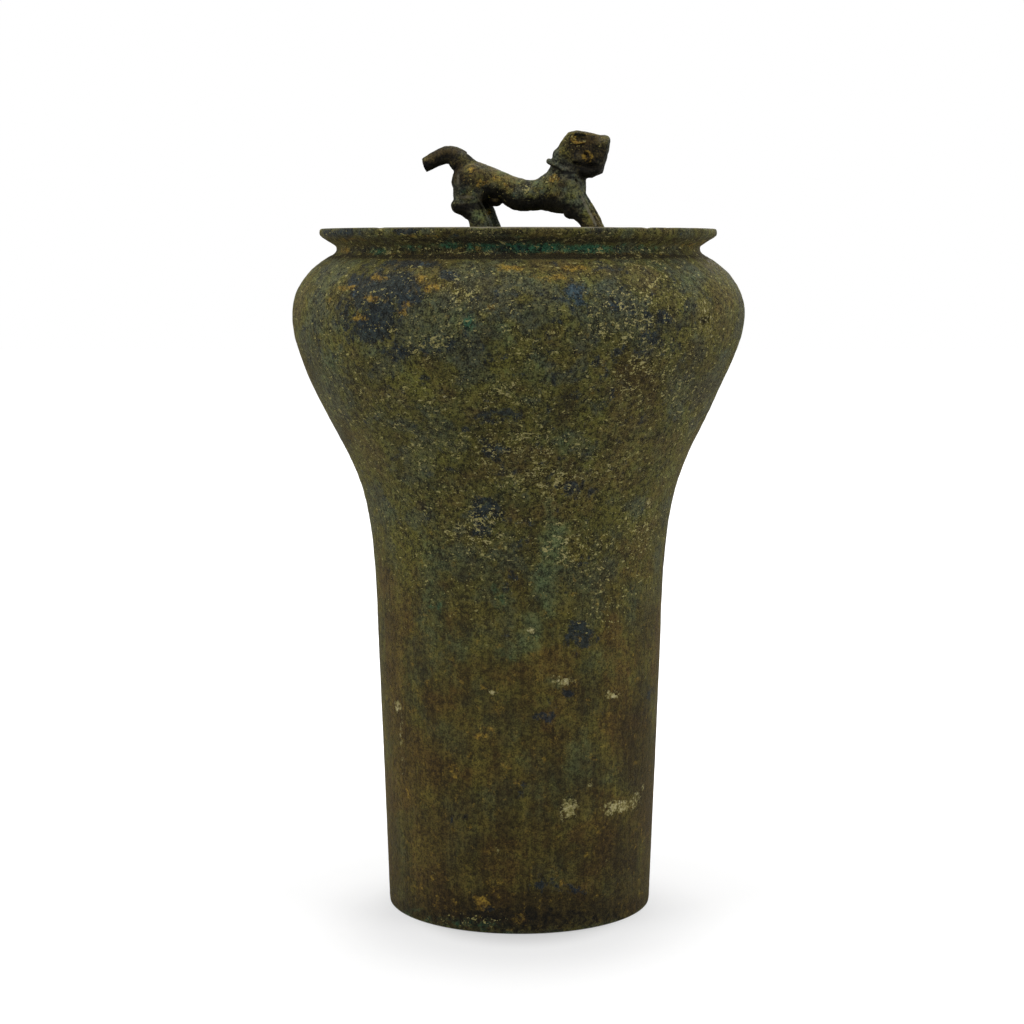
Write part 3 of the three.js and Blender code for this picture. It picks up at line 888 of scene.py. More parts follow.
def spacerPoints(name, places):
    piece = pieceFrom(name, [at for at, _, _ in places], [])
    for key, values in (
        ("centre", [Vector(at) * mm for at, _, _ in places]),
        ("facing", [out for _, out, _ in places]),
        ("along", [along for _, _, along in places]),
    ):
        attribute = piece.data.attributes.new(key, "FLOAT_VECTOR", "POINT")
        attribute.data.foreach_set("vector", [number for value in values for number in value])
    return piece


def makeSpacers():
    rows = {}
    for row, (level, turn) in spacerRows.items():
        rows[row] = [wallPlace(level, turn + 90 * i) for i in range(4)]
    up, side = Vector((0, 0, 1)), Vector((1, 0, 0))
    rows["floor"] = [((s * floorSpacerReach, 0, dishLevel), up, side) for s in (-1, 1)]
    pieces = {}
    for row, places in rows.items():
        piece = spacerPoints(row + "Spacers", places)
        useTree(piece, spacerTree, spacerSize | {"Shell": bellShell, "Material": spacerBronze})
        pieces[row] = piece
    cutter = spacerPoints("pocketCutter", [one for places in rows.values() for one in places])
    grown = {"Shell": bellShell, "Grow": pocketGap, "Past Wall": cutPast["pocket"], "Material": bellBronze}
    useTree(cutter, spacerTree, spacerSize | grown)
    for piece in [*pieces.values(), cutter]:
        keepMade(piece)
    return pieces, cutter


def sink(piece, pit):  # a spacer that corrosion has eaten back below the wall
    p = pointsOf(piece)
    at = np.array(pit["at"])
    away = np.linalg.norm(p - at, axis=1)
    out = at * (1, 1, 0) / np.linalg.norm(at[:2])
    outerFace = soft(*pit["face"], (p - at) @ out)
    p -= np.outer(outerFace * (away < pit["reach"]) * pit["depth"] * soft(pit["reach"] + 1, 0, away), out)
    setPoints(piece, p)


spacers, pocketCutter = makeSpacers()
sink(spacers["shoulder"], sunkSpacer)
print("spacers:", sum(len(piece.data.vertices) for piece in spacers.values()), "points")


# Tiger: rounded forms melted together on a fine grid, then skinned, mm in the tiger's own frame

tiger = {
    "turn": -8.0,  # degrees about the vertical
    "gridStep": 0.5,
    "gridLow": (-63, -18, -8),
    "gridHigh": (59, 18, 76),
    "legSpread": 8.5,
    "hindStride": 1.5,
    "tenonRadius": 3.4,
    "tenonReach": 2.6,
    "headHalf": 10.8,
    "headTaper": 0.26,
    "cheek": 34,
    "muzzle": 20,
    "headRounding": 3.4,
    "crown": (64, 0.10),  # level from which the head narrows upwards, and how fast
    "jaw": (58, 0.08),  # the same downwards
    "narrows": 12,  # over this height at most
    "paw": (7, 5, 5.4),  # half sizes
    "eye": (40.8, 9.9, 58.9),
    "eyeRing": (2.5, 1.0),  # radius and thickness
}
blends = {  # how softly each form melts into the rest, mm
    "torso": 1,
    "neck": 5,
    "tail": 3,
    "head": 2.5,
    "collar": 1.0,
    "leg": 3.0,
    "paw": 1.5,
    "ridge": 0.5,
    "groove": 0.4,
    "eye": 0.4,
}
torsoLine = [  # forward, up from the dish, half height, half width
    (-34.5, 44.5, 3, 4), (-32.4, 44.5, 8.2, 7.5), (-28.5, 44.8, 10.6, 9.2), (-21, 43.4, 10.8, 9.8),
    (-11, 41.7, 8.1, 9), (-5.6, 39.6, 8.1, 8.6), (-1, 36.9, 9.4, 8.5), (7, 35.9, 8.7, 8.3),
    (14, 37, 9.4, 8.8), (22, 38.2, 11.6, 9.8), (27, 38.4, 11.4, 10), (30.8, 38.6, 7, 8),
    (31.8, 38.8, 4, 4.5),
]
neckLine = [(25, 38, 12, 9.4), (28.0, 45, 10.7, 9.6), (29.5, 51, 10.8, 10), (31, 57, 9.5, 9)]
tailLine = [
    (-28.4, 47, 7, 5.8), (-34.6, 56.2, 5.9, 5.4), (-42, 60.4, 5.3, 4.9),
    (-49.6, 58.3, 4.7, 4.5), (-60, 52.6, 4, 4),
]
tailCut = {  # the tip ends flat
    "low": (-66, -8, 44),
    "high": (-52, 8, 66),
    "at": (-57.2, 53.9),
    "out": (-0.946, -0.325),
}
hindLine = [
    (-28.6, 46, 7.6, 4.6), (-28.4, 38, 8.6, 5.8), (-27.4, 31, 8, 5.4), (-22.6, 24.6, 6.0, 4.9),
    (-20.6, 18, 6.3, 4.8), (-17.6, 10, 6.4, 4.6), (-15.6, 4, 6.4, 4.7), (-15, -1, 6.8, 5),
]
foreLine = [
    (27, 44, 8, 4.6), (30.2, 36, 8.6, 5.6), (36, 29.3, 7.0, 5.4), (41.3, 22.8, 5.7, 5),
    (44.6, 16.5, 5.6, 4.7), (47.6, 8, 5.6, 4.6), (49.6, 3, 5.7, 4.8), (50, -1, 6.4, 5),
]
headOutline = [
    (19.2, 55.4), (22.5, 61.4), (26.4, 68.2), (30, 72.8), (35, 73.8), (40.5, 73), (47, 71.4), (51.8, 70.4),
    (54, 67.8), (52.8, 62), (51.2, 56), (49.2, 49.4), (43, 46.4), (36, 47.4), (27, 51),
]
collarRing = {"at": (27.4, 51.4), "reach": 10.6, "half": 10.6, "slope": 27, "tube": 1.7}
knobs = [  # centre, half sizes and how softly each melts in; mirrored to both sides
    ((-34.0, 9.4, 30), (5.6, 5.2, 5.2), 0.8),  # hock
    ((32, 8.5, 25.6), (4.4, 3.6, 3.4), 1.0),  # elbow
    ((-15, 0, 33.2), (4.6, 5, 3.2), 1.4),  # between the hind legs
    ((-38, 0, 55), (3, 4.6, 3), 2.0),  # under the tail's root
    ((50.6, 0, 68.3), (3.4, 5, 2.6), 1.2),  # nose
    ((46.2, 8.2, 65.3), (3.2, 1.8, 1.2), 0.8),  # brow
    ((35.6, 9.8, 57), (4.2, 1.8, 3.6), 2.0),  # cheek
    ((24.4, 5.5, 60), (3.4, 3.6, 3.2), 1.8),  # mane
    ((27.5, 8.6, 60), (2.6, 2.0, 3.0), 1.4),
    ((24.6, 7.8, 55.5), (2.4, 2.2, 2.2), 1.2),
    ((31, 9.4, 53.4), (2.2, 1.6, 1.8), 1.2),
    ((-27.5, 7.4, 45.5), (7.5, 4.2, 8.5), 3.0),  # haunch
    ((27.5, 7.8, 38.5), (7.0, 4.0, 9.0), 3.0),  # shoulder blade
]
hollows = [  # the same for what is cut out
    ((36.6, 11.4, 68.9), (2.4, 1.9, 1.3), 0.5),  # ear
    ((40.8, 11.2, 59.2), (1.2, 1.8, 1.2), 0.3),  # eye
    ((44.5, 10.2, 52.5), (4.6, 2.6, 1.6), 1.2),  # corner of the jaw
    ((52.6, 2.4, 66.6), (1.4, 0.9, 0.9), 0.3),  # nostril
]
ridges = [  # thin raised lines: points, half thickness, side; the flash where the moulds met, and the ears
    (
        [
            (-29.6, 58.4), (-26.6, 56.2), (-21, 54.1), (-10, 49.6),
            (-1, 46.1), (7, 44.5), (12, 45.3), (16, 47.4),
        ],
        0.75, 0,
    ),
    ([(-38.6, 52), (-38.8, 47), (-38.8, 41), (-38.4, 36)], 0.7, 0),
    ([(-32, 61.8), (-38, 64.6), (-46, 64.2), (-53, 60.6)], 0.6, 0),
    ([(39.6, 71.6), (34.4, 72.0), (32.4, 70.2), (32.4, 67.0), (35.6, 66.0), (39.4, 66.4)], 1.15, 10.3),
    ([(35.6, 37.8), (39.6, 30.6), (44.9, 21.6), (48.8, 11.5), (53.0, 1.2)], 0.7, 12.4),
    ([(-22.8, 33.5), (-17.0, 24.4), (-13.2, 14.0), (-11.0, 2.0)], 0.6, 12.0),
]
grooves = [  # cut lines on both sides: points, half width, side
    ([(18.6, 52.4), (24.5, 50.8), (30.4, 47.6), (35.6, 43.6)], 0.75, 9.9),
    ([(19.6, 49.8), (25.2, 48.0), (30.6, 45.0), (34.6, 41.8)], 0.55, 9.7),
    ([(34.4, 54.6), (39.5, 52.4), (44.0, 50.6), (49.6, 49.4)], 1.0, 10.6),
    ([(-38.2, 50.0), (-38.4, 45.0), (-38.0, 39.0)], 0.7, 2.6),
]
legs = ((hindLine, tiger["hindStride"], 2.4), (foreLine, 0, 2.0))  # line, stride, how far the paw leads
feet = [
    (line[-1][0] + side * stride, side * tiger["legSpread"]) for side in (-1, 1) for line, stride, _ in legs
]
tigerRelief = {
    "Wave Size": 16,
    "Wave Height": 0.3,
    "Lump Size": 5,
    "Lump Height": 0.42,
    "Crust Size": 2.2,
    "Crust Height": 0.32,
    "Smooth Below": 0,
    "Rough Above": 1,
    "Least Share": 1,
    "Seed": 8,
}

gridLow = np.array(tiger["gridLow"], dtype=float)
gridSteps = np.ceil((np.array(tiger["gridHigh"]) - gridLow) / tiger["gridStep"]).astype(int)
tigerField = np.full(gridSteps, 20.0, dtype=np.float32)  # how far each grid point lies outside


def gridPart(low, high, spare=4.0):  # the stretch of the grid round a form, with its coordinates
    first = np.clip(((np.array(low) - spare - gridLow) / tiger["gridStep"]).astype(int), 0, gridSteps - 1)
    last = np.clip(((np.array(high) + spare - gridLow) / tiger["gridStep"]).astype(int) + 2, 1, gridSteps)
    axes = [lo + tiger["gridStep"] * np.arange(a, b) for lo, a, b in zip(gridLow, first, last)]
    part = tuple(slice(a, b) for a, b in zip(first, last))
    return part, np.meshgrid(*axes, indexing="ij", sparse=True)


def meltIn(part, distance, blend):
    now = tigerField[part]
    share = np.clip(0.5 + 0.5 * (now - distance) / blend, 0, 1)
    tigerField[part] = now + (distance - now) * share - blend * share * (1 - share)


def cutOut(part, distance, blend):
    now = tigerField[part]
    share = np.clip(0.5 - 0.5 * (now + distance) / blend, 0, 1)
    tigerField[part] = now + (-distance - now) * share + blend * share * (1 - share)


def ellipseDistance(parts, sizes):  # close to the true distance where it matters, near the skin
    near = np.sqrt(sum((p / s) ** 2 for p, s in zip(parts, sizes))) + 1e-6
    slope = np.sqrt(sum((p / s**2) ** 2 for p, s in zip(parts, sizes))) + 1e-6
    return near * (near - 1) / slope


def smoothLine(stations, steps):  # a smooth curve through the stations
    s = np.array(stations, dtype=float)
    s = np.concatenate(([2 * s[0] - s[1]], s, [2 * s[-1] - s[-2]]))
    t = np.linspace(0, 1, steps, endpoint=False)[:, None]
    rows = []
    for a, b, c, d in zip(s, s[1:], s[2:], s[3:]):
        bend, twist = 2 * a - 5 * b + 4 * c - d, 3 * b - a - 3 * c + d
        rows.append(0.5 * (2 * b + (c - a) * t + bend * t**2 + twist * t**3))
    return np.concatenate(rows + [s[-2:-1]])


def limbDistance(stations, forward, side, steps=4):  # an oval limb along its line
    line = smoothLine(stations, steps)
    line[:, 0] += forward
    big = line[:, 2:].max()
    low = (line[:, 0].min() - big, side - big, line[:, 1].min() - big)
    high = (line[:, 0].max() + big, side + big, line[:, 1].max() + big)
    part, (x, y, z) = gridPart(low, high)
    whole = None
    for (ax, az, ah, aw), (bx, bz, bh, bw) in zip(line, line[1:]):
        length = math.hypot(bx - ax, bz - az)
        ux, uz = (bx - ax) / length, (bz - az) / length
        along = (x - ax) * ux + (z - az) * uz
        t = np.clip(along / length, 0, 1)
        over = (z - az) * ux - (x - ax) * uz
        tall, wide = ah + (bh - ah) * t, aw + (bw - aw) * t
        ends = (along - t * length) / np.minimum(tall, wide) * 0.9
        near = np.sqrt((over / tall) ** 2 + ((y - side) / wide) ** 2 + ends**2) + 1e-6
        distance = (near - 1) * np.minimum(tall, wide)
        whole = distance if whole is None else np.minimum(whole, distance)
    return part, whole


def headDistance():  # the head's outline, as wide as the skull and rounded at its edges
    outline = np.array(headOutline)
    low = (outline[:, 0].min(), -tiger["headHalf"], outline[:, 1].min())
    high = (outline[:, 0].max(), tiger["headHalf"], outline[:, 1].max())
    part, (x, y, z) = gridPart(low, high)
    flatX, flatZ = x[:, 0, :], z[0]
    nearest = np.full(np.broadcast(flatX, flatZ).shape, 1e9)
    inside = np.zeros(nearest.shape, dtype=bool)
    for (ax, az), (bx, bz) in zip(outline, np.roll(outline, -1, axis=0)):
        ex, ez = bx - ax, bz - az
        t = np.clip(((flatX - ax) * ex + (flatZ - az) * ez) / (ex * ex + ez * ez), 0, 1)
        nearest = np.minimum(nearest, np.hypot(flatX - ax - t * ex, flatZ - az - t * ez))
        crosses = (az > flatZ) != (bz > flatZ)
        inside ^= crosses & (flatX < ax + (flatZ - az) * ex / (ez if ez else 1e-9))
    profile = np.where(inside, -nearest, nearest)[:, None, :]
    half = tiger["headHalf"] * (1 - tiger["headTaper"] * ((x - tiger["cheek"]) / tiger["muzzle"]) ** 2)
    (crown, above), (jaw, below), most = tiger["crown"], tiger["jaw"], tiger["narrows"]
    half = half - above * np.clip(z - crown, 0, most) - below * np.clip(jaw - z, 0, most)
    rounding = tiger["headRounding"]
    a, b = profile + rounding, np.abs(y) - half + rounding
    return part, np.minimum(np.maximum(a, b), 0) + np.hypot(np.maximum(a, 0), np.maximum(b, 0)) - rounding


def ringDistance(at, reach, half, slope, tube):  # an oval ring, tipped towards the front
    low, high = (at[0] - reach - 2, -half - 2, at[1] - 9), (at[0] + reach + 2, half + 2, at[1] + 9)
    part, (x, y, z) = gridPart(low, high)
    a = math.radians(slope)
    u = (x - at[0]) * math.cos(a) - (z - at[1]) * math.sin(a)
    v = (x - at[0]) * math.sin(a) + (z - at[1]) * math.cos(a)
    around = np.hypot(u, y * reach / half)
    return part, np.hypot(around - reach, v) - tube


def knobPart(at, size, side):
    centre = np.array((at[0], at[1] * side, at[2]))
    part, axes = gridPart(centre - size, centre + size, 2.5)
    return part, ellipseDistance([axis - c for axis, c in zip(axes, centre)], size)


def thinLine(points, half, side):
    return limbDistance([(x, z, half, half) for x, z in points], 0, side, 3)


def shapeTiger():
    for line, name in ((torsoLine, "torso"), (neckLine, "neck"), (tailLine, "tail")):
        meltIn(*limbDistance(line, 0, 0), blends[name])
    part, (x, y, z) = gridPart(tailCut["low"], tailCut["high"])
    beyond = (x - tailCut["at"][0]) * tailCut["out"][0] + (z - tailCut["at"][1]) * tailCut["out"][1]
    tigerField[part] = np.maximum(tigerField[part], beyond)
    meltIn(*headDistance(), blends["head"])
    meltIn(*ringDistance(**collarRing), blends["collar"])
    for side in (-1, 1):
        for line, stride, paw in legs:
            spread = side * tiger["legSpread"]
            meltIn(*limbDistance(line, side * stride, spread), blends["leg"])
            foot = (line[-1][0] + side * stride + paw, tiger["legSpread"], 0.5)
            meltIn(*knobPart(foot, tiger["paw"], side), blends["paw"])
        for at, size, blend in knobs:
            meltIn(*knobPart(at, size, side), blend)
    for points, half, reach in ridges:
        for side in (-1, 1) if reach else (0,):
            meltIn(*thinLine(points, half, side * reach), blends["ridge"])
    for side in (-1, 1):
        for points, half, reach in grooves:
            cutOut(*thinLine(points, half, side * reach), blends["groove"])
        for at, size, blend in hollows:
            cutOut(*knobPart(at, size, side), blend)
        (forward, out, up), (radius, thick) = tiger["eye"], tiger["eyeRing"]
        part, (x, y, z) = gridPart((37, side * 10 - 3, 55), (45, side * 10 + 3, 63), 0)
        around = np.hypot(x - forward, z - up) - radius
        meltIn(part, np.hypot(around, y - side * out) - thick, blends["eye"])


def standTiger():  # cut level under the paws, then given its tenons
    part, (x, y, z) = gridPart(gridLow, tiger["gridHigh"])
    tigerField[part] = np.maximum(tigerField[part], 0.3 - z)
    r, reach = tiger["tenonRadius"], bellShape["floor"] + tiger["tenonReach"]
    for cx, cy in feet:
        part, (x, y, z) = gridPart((cx - r, cy - r, -reach), (cx + r, cy + r, 2), 1.5)
        around = np.hypot(x - cx, y - cy) - r
        tigerField[part] = np.minimum(tigerField[part], np.maximum(np.maximum(around, -reach - z), z - 2))


def skinTiger():
    grid = openvdb.FloatGrid(20.0)
    grid.copyFromArray(tigerField)
    points, triangles, quads = grid.convertToPolygons(0.0, 0.0)
    flat = np.array(points) * tiger["gridStep"] + gridLow
    return flat, triangles, quads


def rotated(points, degrees):  # about the vertical
    a = math.radians(degrees)
    x = points[:, 0] * math.cos(a) - points[:, 1] * math.sin(a)
    y = points[:, 0] * math.sin(a) + points[:, 1] * math.cos(a)
    return np.column_stack((x, y, points[:, 2]))


def turnTiger(points):  # from the tiger's own frame to the bell's
    return rotated(points, tiger["turn"]) + (0, 0, dishLevel)


def signedVolume(points, faces):
    a, b, c = points[faces[:, 0]], points[faces[:, 1]], points[faces[:, 2]]
    return float(np.sum(np.einsum("ij,ij->i", a, np.cross(b, c))))


shapeTiger()
standTiger()
tigerPoints, tigerTriangles, tigerQuads = skinTiger()
if signedVolume(tigerPoints, tigerQuads) < 0:
    tigerQuads = tigerQuads[:, ::-1]
tigerFaces = tigerQuads.tolist() + tigerTriangles.tolist()
tigerFigure = pieceFrom("tigerFigure", turnTiger(tigerPoints), tigerFaces)
smoothShade(tigerFigure, 180)
roughen(tigerFigure, tigerRelief, tigerBronze)
setPoints(tigerFigure, np.minimum(pointsOf(tigerFigure), np.array(frameBox[1]) / mm))
print("tiger:", len(tigerFigure.data.vertices), "points")


# Caps cast over the tenon ends, under the dish floor

capLine = [  # radius, inset and level below the floor
    (0, 0, -5), (1.7, 0, -5), (3.4, 0, -4.9), (4.5, 0, -4.5), (5.4, 0, -3.8), (6.0, 0, -2.9), (6.2, 0, -2.0),
    (6.2, 0, -1.1), (6.15, 0, -0.3), (5.0, 0, -0.3), (3.7, 0, -0.3), (3.7, 0, -1.4), (3.7, 0, -2.6),
    (3.6, 0, -3.2), (1.8, 0, -3.2), (0, 0, -3.2),
]
capRelief = {
    "Wave Size": 7,
    "Wave Height": 0.35,
    "Lump Size": 3,
    "Lump Height": 0.25,
    "Crust Size": 1.5,
    "Crust Height": 0.12,
    "Smooth Below": 0,
    "Rough Above": 1,
    "Least Share": 1,
    "Seed": 5,
}


capShape = {"sides": 40, "gap": 0.25, "turnSeed": 4}


def makeCaps():
    pattern = turned("capPattern", capLine, capShape["sides"], 1.0, capBronze)
    at = rotated(np.array([(x, y, underLevel) for x, y in feet]), tiger["turn"])
    caps = pieceFrom("tenonCaps", at, [])
    useTree(caps, copyTree, {"Copied": pattern, "Seed": capShape["turnSeed"], "Material": capBronze})
    keepMade(caps)
    bpy.data.objects.remove(pattern)
    roughen(caps, capRelief, capBronze)
    p = pointsOf(caps)
    p[:, 2] = np.minimum(p[:, 2], underLevel - capShape["gap"])
    setPoints(caps, p)
    return caps, at


tenonCaps, feetAt = makeCaps()


# Pockets and tenon holes through the shell

def cutShell(sides=40):
    turn = np.arange(sides) * 2 * math.pi / sides
    radius = tiger["tenonRadius"] + pocketGap
    points, faces = [], []
    for x, y, _ in feetAt:
        first = len(points)
        for level in (underLevel - cutPast["drill"], dishLevel + cutPast["drill"]):
            points += [(x + radius * math.cos(a), y + radius * math.sin(a), level) for a in turn]
        for i in range(sides):
            j = (i + 1) % sides
            faces.append((first + i, first + j, first + sides + j, first + sides + i))
        faces.append(tuple(first + i for i in range(sides))[::-1])
        faces.append(tuple(first + sides + i for i in range(sides)))
    drill = pieceFrom("tenonDrill", points, faces)
    for tool in (pocketCutter, drill):
        cut = bellShell.modifiers.new(tool.name, "BOOLEAN")
        cut.operation = "DIFFERENCE"
        cut.solver = "MANIFOLD"
        cut.object = tool
    keepMade(bellShell)
    for tool in (pocketCutter, drill):
        bpy.data.objects.remove(tool)


cutShell()
smoothShade(bellShell, 50)
smoothShade(tenonCaps, 60)
for spacerRow in spacers.values():
    smoothShade(spacerRow, 50)
print("shell cut:", len(bellShell.data.vertices), "points")


# What time has left on the bell, with painted shade and painted highlights: marks at photo pixels, as (x, y,
# half width, half height, strength)

def markLine(start, end, count, *spread):  # marks in a row from one pixel to another
    return [(*np.array(start) + (np.array(end) - start) * i / (count - 1), *spread) for i in range(count)]


